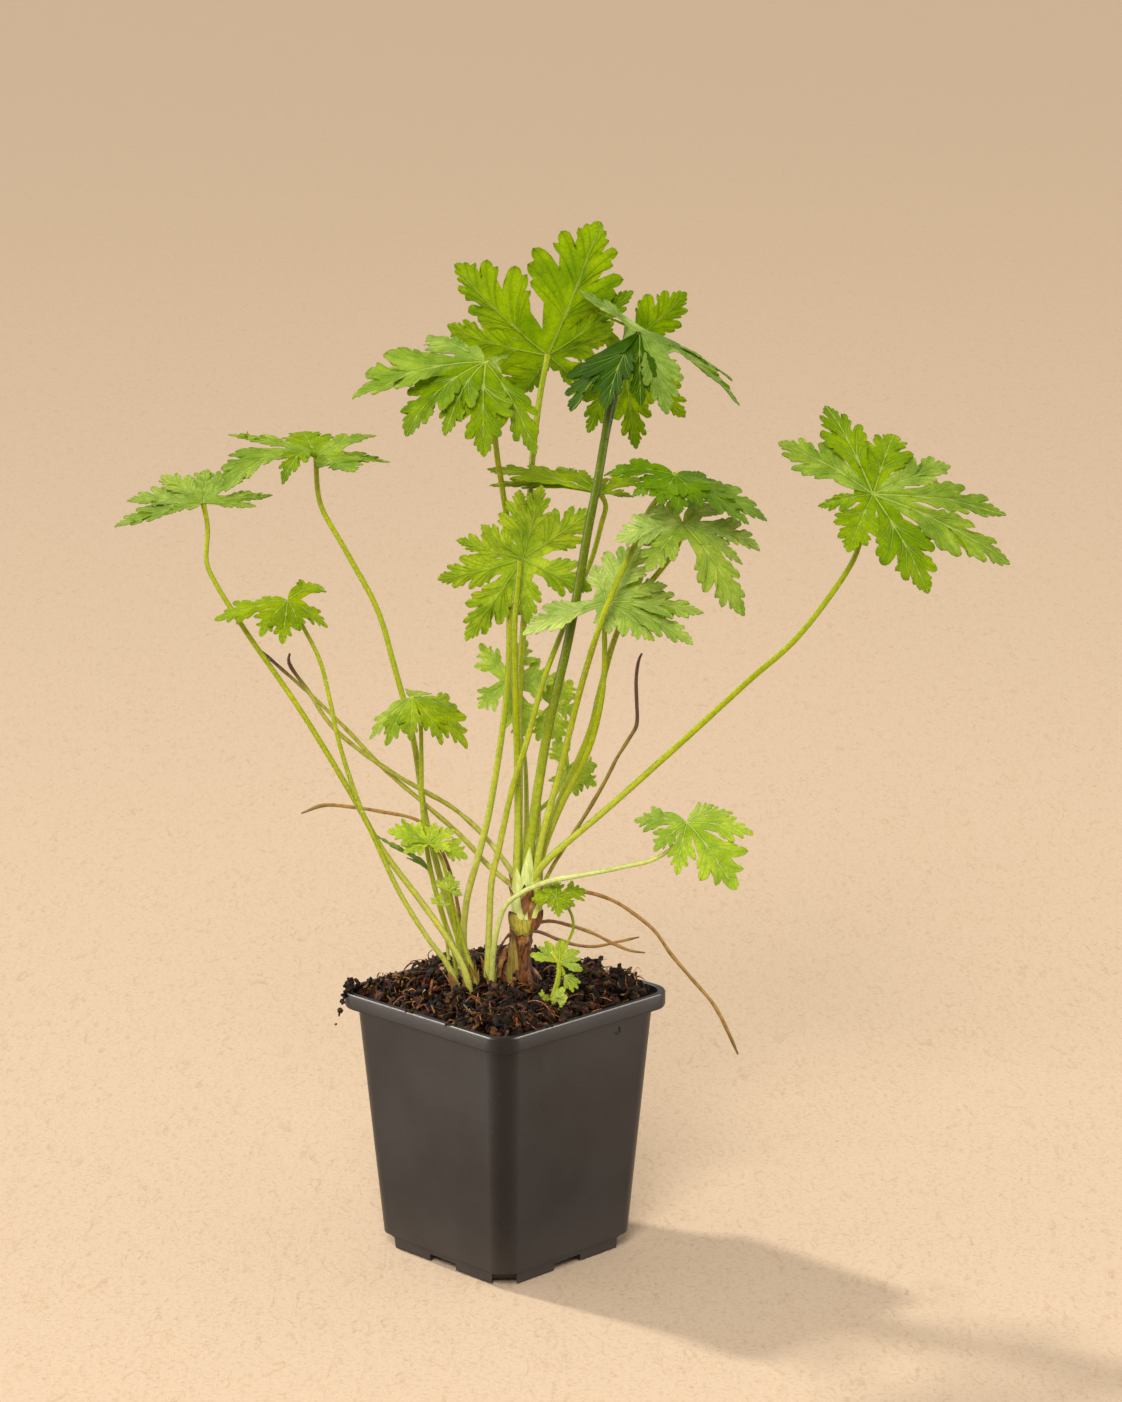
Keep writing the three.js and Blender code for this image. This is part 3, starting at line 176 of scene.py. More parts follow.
CLUMP_LEAVES = {
    "leaf_upper_left": {
        "finish": "fresh", "hub": [-6, -14, 336], "up": [-0.1, -0.35, 0.93], "cut": 0.38,
        "silver": [0.45, 0.2, -0.05, -0.08, -0.08, 0, 0.6],
        "arches": [0.05, 0.08, 0.11, 0.11, 0.11, 0.11, 0],
        "wide": [(0.5, 1), 1.1, (1.3, 1.5), (1.3, 1.5), (1.5, 1.6), (1.5, 0.5), 0.5],
        "tips": [[-27, 8, 342], [-53, -18, 323], [-34, -31, 312], [-20, -37, 313], [-6, -41, 306],
            [12, -36, 306], [2, 4, 336]],
        "stalk": [[-6, -13.7, 336], [-4.5, -10, 322], [-3, -7, 310], [-2, -4, 299.5], [-0.5, 0, 289],
            [2, 4.5, 268], [2, 4, 239], [1, 2, 213], [-5.5, -3, 169], [-9, -5, 154.5], [-14, -6.5, 135.5],
            [-15, -6.5, 118], [-12, -5.5, 108], [-10, -4.5, 97]],
        "radius": [1, 1.35],
    },
    "leaf_inner_right": {
        "finish": "bright", "hub": [35, -4, 287], "up": [0, -0.2, 0.97], "arch": 0.05,
        "tips": [[-6, 8, 294], [-5, 6, 288], [20, 20, 293], [31, 14, 290], [50, 8, 291], [47, -5, 286]],
        "stalk": [[35, -3.8, 287], [37, 0.5, 282], [35.5, 3, 275], [32, 3.5, 262], [26, 2, 248],
            [21, -4, 236], [14.5, -11, 220], [8.5, -13.5, 198], [3, -14, 180], [-2, -13.5, 157],
            [-4.5, -12, 145.5], [-5.7, -10.2, 125], [-6.3, -9.2, 108], [-6.5, -9, 97]],
        "radius": [0.9, 1.3],
    },
    "leaf_far_left": {
        "finish": "fresh", "hub": [-108, -5, 284], "up": [0, -0.3, 0.95], "arch": 0.03, "crease": 0.14,
        "silver": [0.4, 0.6, 0.6, 0.5, 0.5, 0.5, 0.4, 0.3],
        "wide": [0.8, (0.8, 1), 1, 1, 1, 1, (0.5, 0.8), 0.9],
        "tips": [[-119, -22, 283], [-138, -22, 278], [-135, -8, 285], [-124, 8, 292], [-108, 16, 293],
            [-96, 14, 295], [-83, -4, 286], [-88, -15, 284]],
        "stalk": [[-108, -4.8, 284], [-106.5, -5, 275], [-107, -7, 262.5], [-104.5, -8, 256.5],
            [-93.5, -10, 238.5], [-73.5, -14, 209.5], [-55, -17, 178.5], [-44, -17.5, 158],
            [-30.5, -17.5, 139], [-20, -16.5, 123], [-14, -15.5, 110], [-12.5, -15, 97]],
        "radius": [0.85, 1.25],
    },
    "leaf_left_upper": {
        "finish": "fresh", "hub": [-69, 25, 296], "up": [0, -0.1, 0.99], "cut": 0.36,
        "silver": [0.3, 0.3, 0, 0.3, 0.2, 0.3, 0], "arches": [0.03, 0.14, 0.18, 0.05, 0.02, 0.06, 0.02],
        "wide": [(0.5, 0.6), (1, 1.1), (1, 0.5), 1.4, 0.9, 0.8, 1.1],
        "tips": [[-102, 34, 304], [-100, -8, 289], [-79, -8, 291], [-54, 6, 293], [-42, 28, 294],
            [-48, 46, 301], [-76, 50, 302]],
        "stalk": [[-69, 25, 296], [-69, 25, 287], [-67.5, 24, 278], [-58.5, 19, 262.5], [-46.5, 13, 241],
            [-41, 9, 223], [-33.5, 5, 194], [-29, 2, 164.5], [-22, 0, 136], [-17, -0.5, 119],
            [-14, -0.8, 107], [-13, -1, 97]],
        "radius": [0.95, 1.3],
    },
    "leaf_left_middle": {
        "finish": "bright", "hub": [-77, -20, 251], "up": [0.1, -0.4, 0.9], "small": True, "cut": 0.28,
        "arches": [0.03, 0.04, 0.1, 0.1, 0.1, 0.08, 0.08],
        "wide": [0.8, 1, (1.2, 1.9), 1.9, (1.6, 1.2), (1, 0.8), 1],
        "tips": [[-92, -12, 248], [-103, -22, 244], [-86, -31, 240], [-78, -34, 238], [-72, -30, 242],
            [-63, -20, 241], [-66, -2, 253]],
        "stalk": [[-77, -19.7, 251], [-73, -17, 243], [-66, -17, 228.5], [-62.5, -18, 214],
            [-59, -19.5, 197.5], [-52, -21, 175.5], [-46.5, -21, 162.5], [-38, -20.5, 143], [-28, -18, 125],
            [-20, -14, 112], [-16, -11.5, 97]],
        "radius": [0.75, 1.1],
    },
    "leaf_left_lower": {
        "finish": "bright", "hub": [-33, -18, 215], "up": [0.1, -0.4, 0.9], "small": True,
        "silver": [0.4, 0.1, 0.1, 0, 0, 0.2, 0.4], "cut": 0.28,
        "arches": [0.08, 0.13, 0.14, 0.14, 0.12, 0.08, 0],
        "wide": [(0.6, 1.2), (1.3, 1.9), (1.9, 1.2), (1.1, 1.7), (1.9, 1.5), 1.2, 0.8],
        "tips": [[-48, -24, 201], [-42, -30, 200], [-33, -31, 202], [-22, -29, 200], [-13, -22, 197],
            [-14, -8, 205], [-31, 4, 213]],
        "stalk": [[-33, -17.7, 215], [-30.5, -13, 207], [-30, -10, 190], [-30, -9, 175], [-28, -9, 154],
            [-24, -8.5, 135], [-18.5, -8, 118], [-14.5, -7, 107], [-13.5, -6.5, 97]],
        "radius": [0.75, 1.05],
    },
    "leaf_small_left": {
        "finish": "young", "hub": [-27, -20, 161], "up": [0, -0.5, 0.86], "arch": 0.08, "small": True,
        "wide": [1.4, 1.2, 1.2, 1.2, 1.4, 1.4, 1.3],
        "tips": [[-42, -24, 167], [-37, -13, 166], [-25, -12.5, 167], [-18, -14, 165], [-13, -21, 156],
            [-19, -27, 160], [-36, -28, 160]],
        "stalk": [[-27, -19.8, 161], [-23.5, -19.5, 157], [-21, -18, 149], [-19, -15.5, 138],
            [-15, -13, 121], [-10.8, -11.8, 106], [-9.5, -11.5, 97]],
        "radius": [0.65, 0.9],
    },
    "leaf_low_right": {
        "finish": "pale", "pale_stalk": True, "hub": [66, -35, 173], "up": [-0.1, -0.6, 0.8], "arch": 0.08,
        "small": True, "silver": [0.4, 0.1, 0, 0, 0.1, 0.2, 0.4], "wide": [1, 1.1, 1.1, 1.2, 1.1, 1, 1],
        "tips": [[47, -28, 172], [54, -42, 164], [62, -48, 157], [83, -50, 152], [90, -36, 169],
            [83, -28, 175], [76, -26, 177]],
        "stalk": [[66, -34.7, 173], [63.5, -30.5, 165], [55, -27, 157.5], [42, -25, 153.5],
            [27.5, -23, 150], [15, -21.5, 147], [6, -20, 142.5], [0.5, -17.5, 137], [-2.5, -15.5, 128],
            [-4.5, -13.8, 113], [-5, -13, 97]],
        "radius": [0.75, 1.15],
    },
    "leaf_folded": {
        "finish": "deep", "hub": [-28, -3, 147], "up": [0.5, -0.3, 0.8], "arch": 0.04, "small": True,
        "silver": 0.7, "wide": [(0.3, 0.5), 0.35, (0.5, 0.3)],
        "tips": [[-36, -5, 152], [-48, -3, 160], [-37, -1, 154]],
        "stalk": [[-28, -2.8, 147], [-26, -3, 141], [-22, -4, 128], [-18.5, -4.2, 112], [-16.8, -4.2, 97]],
        "radius": [0.5, 0.7],
    },
}

SEEDLING_LEAVES = {
    "seedling_leaf_low": {
        "finish": "young", "hub": [20.2, -20, 116.4], "up": [0, -0.55, 0.83], "arch": 0.06, "round": True,
        "cut": 0.5, "wide": [(1, 0.75), 0.7, 0.8, (0.8, 1), 0.8, 0.75, (0.8, 1)],
        "silver": [0.2, 0.2, 0, 0, 0.1, 0.3, 0.4],
        "tips": [[9.6, -19, 119], [12.4, -15, 120.8], [14.9, -12, 122], [20.4, -11, 122],
            [27.5, -14, 118.8], [28, -19, 117.1], [28.6, -24, 114.3]],
        "stalk": [[20.4, -20, 116], [19.6, -22.5, 110], [18.1, -24, 104.9], [16.1, -25, 96]],
        "radius": [0.8, 1.15],
    },
    "seedling_leaf_high": {
        "finish": "bright", "hub": [19, -20, 141], "up": [0, -0.6, 0.8], "arch": 0.07, "small": True,
        "cut": 0.36, "wide": [1.4] * 7,
        "tips": [[16, -23, 138], [10, -20, 140], [14, -17, 145], [19, -15, 146], [30, -14, 142],
            [26, -21, 138], [20, -25, 135]],
        "stalk": [[20, -19.4, 139.4], [23, -15, 136], [25, -12, 131], [25.3, -11, 126.3], [23.9, -12, 123],
            [22, -15, 120], [20.6, -18.8, 117], [20, -19, 110], [18.6, -18, 102], [18, -17, 95]],
        "radius": [0.5, 0.75],
    },
}

SHOOT_UPPER_RIGHT = {
    "front": {
        "hub": [49, 0, 345], "up": [-0.05, 0, 1], "cut": 0.34,
        "silver": [-0.5, 0.7, 0.9, 0.7, 0.6, 0.4, -0.4, -0.5],
        "arches": [0.04, 0.0, 0.0, 0.05, 0.07, 0.1, 0.1, 0.1],
        "wide": [(0.25, 1.1), 0.8, (0.6, 0.7), 0.9, 0.9, (1, 1.1), 1.2, 1.3],
        "tips": [[24, -18, 319], [34, -4, 352], [27, 11, 359], [82, 5, 326], [85, -8, 320], [58, -20, 318],
            [49, -19, 321], [37, -21, 320]],
    },
    "rear": {
        "hub": [44, 44, 334], "up": [0.1, 0.85, 0.5], "arch": -0.04, "cut": 0.34,
        "wide": [1.1, 1, 1, (1, 0.85), (1, 0.8), (0.75, 1.25)],
        "tips": [[28, 48, 345], [29, 52, 313], [31, 56, 301], [49, 57, 294], [67, 50, 307], [67, 36, 355]],
    },
    "stem": [[49, 0.3, 345], [44, 4, 332.5], [39, 3, 320], [36.5, -2, 306.5], [34, -7, 292.5],
        [30.5, -11, 275], [27.5, -11, 257], [23.5, -11, 235], [16, -10, 201], [10.7, -8.3, 167],
        [8.6, -7.6, 150], [8.2, -7.4, 137]],
    "stemRadius": [1.5, 1.9],
    "branch": [[44, 43.7, 334], [42.5, 28, 326], [40, 14, 318], [36.6, -2, 306.5]],
    "branchRadius": [1, 1.3],
}

INNER_SPRAY = {
    "finish": "young",
    "stem": [[17, 23.8, 203], [15.5, 20, 192], [13, 15, 179], [12.5, 9, 165], [12.5, 3.5, 152],
        [12, 1.2, 137]],
    "stemRadius": [0.7, 1.1],
    "upper": {
        "hub": [17, 24, 203], "up": [0, -0.9, 0.4], "arch": 0.08, "small": True, "silver": 0.1,
        "wide": [1.5] * 5,
        "tips": [[11, 27, 216], [25, 30, 211], [26, 26, 200], [20, 20, 189], [12, 20, 190]],
    },
    "lower": {
        "hub": [23, 14, 181], "up": [0, -0.9, 0.4], "arch": 0.08, "small": True, "silver": 0.1,
        "wide": [1.6] * 5,
        "tips": [[18, 16, 191], [34, 18, 181], [34, 12, 175], [27, 8, 172], [19, 8, 173]],
    },
    "branch": [[23, 13.8, 181], [19, 13, 172], [12.6, 9.4, 166]],
    "branchRadius": [0.6, 0.8],
}

DRY_STALKS = {
    "dry_stalk_long": {
        "finish": "straw", "radius": [0.75, 1.1],
        "route": [[-89, 0, 229], [-80, -1, 221], [-70, -1.5, 212], [-57, -2, 199], [-44, -3, 185],
            [-31, -3.5, 173.5], [-16, 1, 158.5], [-6, 2, 147], [4.2, 0.3, 138.5]],
    },
    "dry_stalk_hooked": {
        "finish": "straw", "radius": [0.8, 1.1],
        "route": [[-77.5, -7, 229], [-78, -7, 226], [-71, -7, 215], [-62.5, -7.5, 202], [-46.5, -5.5, 188],
            [-31, -4.8, 178], [-19, 2, 169], [-8.5, 3.5, 159], [0, 0.5, 149], [4.5, -0.2, 142]],
    },
    "dry_stalk_brown": {
        "finish": "brown", "radius": [0.7, 0.8],
        "route": [[-74, -10, 170], [-66, -10, 173], [-55, -9, 172], [-45, -7.5, 170], [-31, -4.5, 165.5],
            [-24.5, -3.8, 157], [-19.5, 1.5, 142], [-16.5, 3.2, 124], [-15, 3.5, 108], [-14.5, 3.5, 97]],
    },
    "dry_stalk_right": {
        "finish": "olive", "radius": [0.75, 0.8],
        "route": [[50, -14, 230.5], [49, -14, 228.5], [48, -14, 222], [48.2, -14.2, 212],
            [48.4, -14.4, 206.5], [48, -14.4, 203.5], [45.5, -14, 199], [41, -14, 191.5],
            [37, -14.5, 183.5], [30, -14.2, 171], [23, -13, 159.5], [17.5, -10, 149.5], [14.5, -8.8, 143]],
    },
    "runner_long": {
        "finish": "brown", "radius": [0.75, 0.8],
        "route": [[87, 2, 74], [84, 2, 81], [78, 2, 93], [69, 2, 104], [61.5, 1, 113.5], [55.5, 0, 122.5],
            [48, -2, 129.5], [40, -3, 135], [30, -4, 138.5], [21, -5, 138.5], [12, -5.5, 133.5]],
    },
    "runner_upper": {
        "finish": "brown", "radius": [0.6, 0.75],
        "route": [[52, 2, 113.5], [47, 1, 114.5], [40, -1, 118], [33, -2, 122], [24, -3, 125.5],
            [16, -4.2, 127.5], [9.3, -5.5, 126]],
    },
    "runner_lower": {
        "finish": "brown", "radius": [0.6, 0.75],
        "route": [[50, 9, 117.5], [42, 8, 116], [34, 7, 114.5], [27, 5, 115.5], [20, 2, 118.5],
            [13, -1.5, 122.5], [8, -4.5, 124]],
    },
}

# Tiny young leaves: like the others, with the foot of their stalk.
LEAF_SCRAPS = [
    {
        "small": True, "hub": [-20, -19, 143], "up": [0.2, -0.8, 0.6], "foot": [-17, -14, 118],
        "tips": [[-25, -19, 147], [-20, -17, 150], [-16, -19, 147], [-15, -21, 142]],
    },
    {
        "small": True, "hub": [-23, -17, 137], "up": [-0.3, -0.8, 0.5], "foot": [-21, -13, 121],
        "tips": [[-27, -17, 140], [-23, -16, 142], [-19, -18, 138]],
    },
    {
        "round": True, "cut": 0.45, "hub": [21.9, -22, 111.9], "up": [0.3, -0.8, 0.4],
        "wide": [0.9, 1, 1, 1, 0.9], "foot": [20.4, -20.6, 115.2],
        "tips": [[25.7, -21, 111.4], [27.9, -21.5, 109], [27, -23, 107.2], [25.2, -24, 106.1], [23, -23.5, 107.4]],
    },
    {
        "round": True, "cut": 0.75, "hub": [16.8, -25, 100.6], "up": [0.1, -0.9, 0.4],
        "wide": [1, 1.5, 1.5, 1], "silver": 0.5, "foot": [16.4, -25, 97.5],
        "tips": [[22.2, -24, 107.9], [23, -24.5, 105.1], [22.1, -25, 102.5], [20.2, -26, 100.2]],
    },
    {
        "small": True, "hub": [15.4, -25, 100.8], "up": [-0.4, -0.8, 0.4], "wide": [1, 1.3, 1],
        "foot": [16, -25, 97], "tips": [[12.6, -25, 102], [13.9, -24, 107.3], [15.9, -24, 105.4]],
    },
]
SCRAP_ARCH = 0.08

# Bare roots beside the rootstock: route and thickness.
BARE_ROOTS = [
    ([(4.5, -8.5, 126), (-0.5, -9.5, 121), (-4, -9, 113), (-5, -8.5, 104)], 0.55),
    ([(4.5, -8.0, 122), (0.5, -9, 118), (-2.5, -8.5, 109), (-3, -8, 100)], 0.6),
    ([(4.5, -7.5, 121), (-1, -8.5, 113), (-1.5, -7, 100), (-1, -6.5, 96)], 0.8),
    ([(4.5, -5.5, 116), (0.5, -5.5, 110), (0.2, -4.5, 96)], 0.8),
    ([(8, -9, 112), (9.5, -12, 107), (11, -15, 101)], 1.1),
    ([(9, -5, 110), (12.5, -5, 106), (15.5, -4, 100)], 1.0),
    ([(5, -10, 112), (3.5, -13, 107), (1, -16, 101)], 0.9),
]

# Scales on the front of the crown and its rootstock: base, tip, width, the way each looks, how far
# its tip curls out, finish, and rows.
GREEN, DRY, BROWN, SHEATHING, FLESHY = range(5)
FRONT_SCALES = [
    ((6.4, -12.2, 124.6), (1.7, -11.8, 133.4), 6.6, (-0.35, -1, 0), 0.0, GREEN, 8),
    ((6.6, -12.0, 124.6), (13.6, -11.8, 133.0), 6.2, (0.35, -1, 0), 0.0, GREEN, 8),
    ((4.9, -11.8, 130), (4.6, -12.6, 150), 5.4, (-0.4, -1, 0), 0.0, FLESHY, 12),
    ((9.4, -11.8, 130), (12.6, -12.8, 151), 5.4, (0.4, -1, 0), 0.0, FLESHY, 12),
    ((7.2, -12.4, 133), (9.4, -13.2, 158), 5.2, (0, -1, 0), 0.0, FLESHY, 12),
    ((9.2, -14.2, 142.5), (7.2, -13.4, 132.5), 4.4, (0, -1, 0), 0.0, BROWN, 8),
    ((10.6, -12.8, 126.6), (14.2, -12.9, 134.4), 3.4, (0, -1, 0), 0.0, BROWN, 8),
    ((2.2, -10.9, 102), (3.2, -11.9, 126), 5.4, (-0.5, -1, 0), 0.0, SHEATHING, 12),
    ((7.6, -10.4, 104), (8.6, -11.4, 120), 4.2, (0.4, -1, 0), 0.0, BROWN, 8),
    ((5.6, -10.9, 101), (5.8, -11.8, 116), 4.0, (0, -1, 0), 0.0, BROWN, 8),
    ((1.4, -9.6, 100), (-0.6, -11.6, 110), 3.0, (-0.7, -1, 0), 0.12, BROWN, 8),
    ((-0.8, -8.6, 98), (-3.4, -9.6, 106), 3.2, (-0.9, -0.6, 0), 0.15, BROWN, 8),
]

# Half of a lobe's edge from its notch to its tip. Each point: share along the midrib, share out
# from it, where its row leaves the midrib, its vein's size, how far its run bulges, rows in the run.
NOTCH_ROW = 0.28
FULL_EDGE = [
    (0.34, 0.150, 0.240, 0, 0.03, 5),
    (0.42, 0.222, 0.280, 0, 0.05, 2),
    (0.462, 0.270, 0.295, 0.25, 0.28, 3),
    (0.488, 0.240, 0.300, 0, 0.05, 1),
    (0.568, 0.317, 0.315, 0.3, 0.32, 4),
    (0.595, 0.283, 0.320, 0, 0.05, 1),
    (0.672, 0.318, 0.335, 0.8, 0.36, 4),
    (0.690, 0.245, 0.360, 0, 0.30, 2),
    (0.602, 0.124, 0.455, 0, 0.10, 4),
    (0.700, 0.158, 0.490, 0, 0.03, 2),
    (0.752, 0.214, 0.505, 0.3, 0.26, 3),
    (0.772, 0.184, 0.510, 0, 0.05, 1),
    (0.848, 0.202, 0.535, 0.6, 0.32, 3),
    (0.855, 0.148, 0.560, 0, 0.25, 2),
    (0.788, 0.088, 0.640, 0, 0.08, 3),
    (0.860, 0.100, 0.675, 0, 0.04, 2),
    (0.904, 0.114, 0.690, 0.35, 0.30, 2),
    (0.908, 0.080, 0.710, 0, 0.10, 1),
    (0.957, 0.070, 0.790, 0.25, 0.30, 2),
    (0.957, 0.045, 0.800, 0, 0.05, 1),
    (1, 0, 1, 0, 0.36, 4),
]
SMALL_EDGE = [
    (0.46, 0.170, 0.290, 0, 0.04, 3),
    (0.57, 0.265, 0.330, 0.3, 0.30, 3),
    (0.59, 0.243, 0.335, 0, 0.05, 1),
    (0.71, 0.305, 0.365, 0.75, 0.36, 3),
    (0.72, 0.235, 0.390, 0, 0.25, 2),
    (0.65, 0.125, 0.490, 0, 0.08, 3),
    (0.76, 0.150, 0.550, 0, 0.04, 2),
    (0.84, 0.185, 0.590, 0.5, 0.30, 2),
    (0.85, 0.138, 0.620, 0, 0.20, 1),
    (0.82, 0.075, 0.720, 0, 0.06, 2),
    (0.90, 0.072, 0.800, 0.2, 0.20, 2),
    (1, 0, 1, 0, 0.38, 4),
]
ROUND_EDGE = [
    (0.50, 0.200, 0.300, 0, 0.10, 3),
    (0.64, 0.290, 0.360, 0.3, 0.50, 4),
    (0.67, 0.255, 0.380, 0, 0.10, 1),
    (0.83, 0.225, 0.520, 0.4, 0.50, 4),
    (0.85, 0.180, 0.550, 0, 0.10, 1),
    (1, 0, 1, 0, 0.50, 5),
]
# The free side of an outer lobe, up to where its edge begins.
OPEN_SIDE = [(0.1, 0.07), (0.2, 0.12), (0.3, 0.14)]
# Columns from midrib to edge, and rows between the hub and a notch.
FULL_GRID = (7, 6)
SMALL_GRID = (5, 4)
# Straight runs that a midrib, another vein, and each part of a curved line are drawn with.
MIDRIB_RUNS = 8
VEIN_RUNS = 6
CURVE_PARTS = 12
# Tangent of half the angle between lobes of usual width, and the widest that they grow.
EVEN_SPREAD = 0.45
MOST_SPREAD = 1.0
# Thickness of a blade, height of the quilting between its veins, and wave of its edge.
BLADE = 0.3
QUILT = 0.46
WAVE = 0.012
SURFACE_VALUES = ("rib", "main", "under", "margin", "tooth", "along", "silver")

# ------------------------------------------------------------------ colours, lights and camera

# Each colour is given as it looks on a screen, 0 to 255.
# Blades: upper face, lower face, veins, the light that shines through, and that light's share.
# Copies of one leaf colour, lighter or darker for the light each leaf stands in: "deep" is painted shade, "bright"
# and "pale" painted light, "pale" also a painted sheen, and "young" the paler green of young leaves, lightened as
# painted light.
BLADE_COLOURS = {
    "fresh": ((139, 164, 10), (152, 179, 16), (194, 210, 104), (202, 222, 4), 0.5),
    "deep": ((116, 148, 4), (128, 159, 14), (166, 190, 84), (178, 210, 0), 0.45),
    "pale": ((186, 206, 66), (184, 206, 60), (216, 226, 136), (224, 240, 44), 0.45),
    "bright": ((162, 180, 20), (164, 185, 22), (204, 215, 108), (218, 232, 8), 0.48),
    "young": ((196, 211, 64), (198, 212, 72), (224, 232, 130), (232, 242, 56), 0.45),
}
TOOTH_TIP = (112, 88, 40)

# Stalks: foot, low, middle and top, and the share of the stalk that its foot takes up.
STALK_COLOURS = {
    "stalk_green": ((190, 200, 124), (162, 171, 56), (138, 149, 12), (132, 148, 10), 0.05),
    "stalk_clump": ((116, 80, 56), (172, 175, 78), (142, 153, 26), (144, 156, 18), 0.1),
    "stalk_pale": ((140, 108, 66), (160, 166, 82), (184, 194, 124), (172, 186, 98), 0.12),
    # Painted shade: the stout stem's middle and top are darkened for the shade it stands in.
    "stalk_stout_shaded": ((190, 200, 124), (148, 161, 44), (88, 104, 2), (64, 82, 0), 0.05),
}

# Bark, scales and husks: dark and light fibres, patches, stretch of the fibres, roughness, rim.
LONG_FIBRES, BARK_FIBRES = (1, 1, 0.15), (1, 1, 0.22)
WOODY_COLOURS = {
    "sheath_green": ((164, 178, 86), (206, 214, 140), (180, 182, 100), LONG_FIBRES, 0.6, None),
    "collar_olive": ((106, 98, 30), (168, 160, 62), (124, 92, 42), LONG_FIBRES, 0.6, (84, 48, 26)),
    "husk_olive": ((96, 80, 34), (148, 136, 64), (120, 84, 44), (1, 1, 0.12), 0.6, (78, 46, 26)),
    "scale_dry": ((104, 68, 36), (158, 120, 70), (188, 160, 104), BARK_FIBRES, 0.82, None),
    "scale_brown": ((70, 40, 24), (122, 76, 46), (150, 104, 66), BARK_FIBRES, 0.82, None),
    "rootstock_bark": ((46, 26, 14), (128, 84, 50), (182, 136, 86), BARK_FIBRES, 0.82, None),
}

# Withering stalks: tip, body and foot, and where the tip's colour starts.
DRY_COLOURS = {
    "straw": ((84, 58, 22), (152, 154, 52), (184, 190, 88), 0.83),
    "brown": ((112, 88, 36), (150, 116, 56), (140, 98, 56), 0.85),
    "olive": ((72, 48, 10), (116, 102, 18), (152, 158, 48), 0.64),
}

# Soil: dark and light grains, flecks, roughness, and how fine its fibres are.
SOIL_COLOURS = {
    "soil_peat": ((22, 14, 8), (66, 42, 24), (108, 70, 38), 0.92, 520),
    "soil_humus": ((36, 22, 12), (104, 68, 36), (150, 98, 54), 0.92, 520),
    "soil_bark": ((72, 44, 22), (146, 98, 54), (190, 134, 80), 0.85, 800),
    "soil_fibre": ((130, 86, 48), (194, 142, 88), (218, 174, 120), 0.8, 900),
    "soil_grit": ((150, 126, 92), (190, 166, 124), (206, 188, 150), 0.8, 520),
}

FLOOR_PALE = (181, 161, 139)
FLOOR_WORN = (160, 139, 116)
FLOOR_RADIUS = 90
FLOOR_DROP = 0.0003

# Places of the lights and the camera, in metres.
SUN = {"place": (-2.5, 1.5, 2.8), "strength": 2.75, "colour": (1.0, 0.94, 0.84), "spread": math.radians(4.5)}
BOX_PLACE = (2.3, -0.4, 0.75)
BOX_TARGET = (0, 0, 0.1)
BOX_SIZE = 1.5
BOX_COLOUR = (1.0, 0.9, 0.82)
LEFT_BOX_WATTS = 235
RIGHT_BOX_WATTS = 155
FILL_PLACE = (-0.5, -3.0, 2.6)
FILL_TARGET = (0.02, 0, 0.2)
FILL_SIZE = 1.8
FILL_WATTS = 170
FILL_COLOUR = (1.0, 0.97, 0.92)
AIR_COLOUR = (1.0, 0.92, 0.81, 1)
AIR_STRENGTH = 0.7
CAMERA_PLACE = (0.0208, -1.300, 0.498)
CAMERA_PITCH = math.radians(77.5)
CAMERA_LENS = 93.54
CAMERA_SENSOR = 36
CAMERA_CLIP = (0.05, 120)


# ------------------------------------------------------------------ lines and skins

def smooth_line(points, step):
    """Evenly spaced points on a centripetal curve through the given ones."""
    given = [Vector(p) for p in points]
    ends = [given[0] * 2 - given[1], *given, given[-1] * 2 - given[-2]]
    fine = []
    for p0, p1, p2, p3 in zip(ends, ends[1:], ends[2:], ends[3:]):
        gaps = [max((b - a).length, 1e-6) ** 0.5 for a, b in ((p0, p1), (p1, p2), (p2, p3))]
        leave = ((p1 - p0) / gaps[0] - (p2 - p0) / (gaps[0] + gaps[1]) + (p2 - p1) / gaps[1]) * gaps[1]
        arrive = ((p2 - p1) / gaps[1] - (p3 - p1) / (gaps[1] + gaps[2]) + (p3 - p2) / gaps[2]) * gaps[1]
        for i in range(CURVE_PARTS):
            t = i / CURVE_PARTS
            fine.append(p1 * (2 * t**3 - 3 * t**2 + 1) + leave * (t**3 - 2 * t**2 + t)
                        + p2 * (3 * t**2 - 2 * t**3) + arrive * (t**3 - t**2))
    fine.append(given[-1])
    lengths = [0.0]
    for a, b in zip(fine, fine[1:]):
        lengths.append(lengths[-1] + (b - a).length)
    count = max(4, round(lengths[-1] / step))
    line, k = [], 0
    for i in range(count + 1):
        wanted = lengths[-1] * i / count
        while k + 2 < len(lengths) and lengths[k + 1] < wanted:
            k += 1
        share = (wanted - lengths[k]) / max(lengths[k + 1] - lengths[k], 1e-9)
        line.append(fine[k].lerp(fine[k + 1], min(1, max(0, share))))
    return line


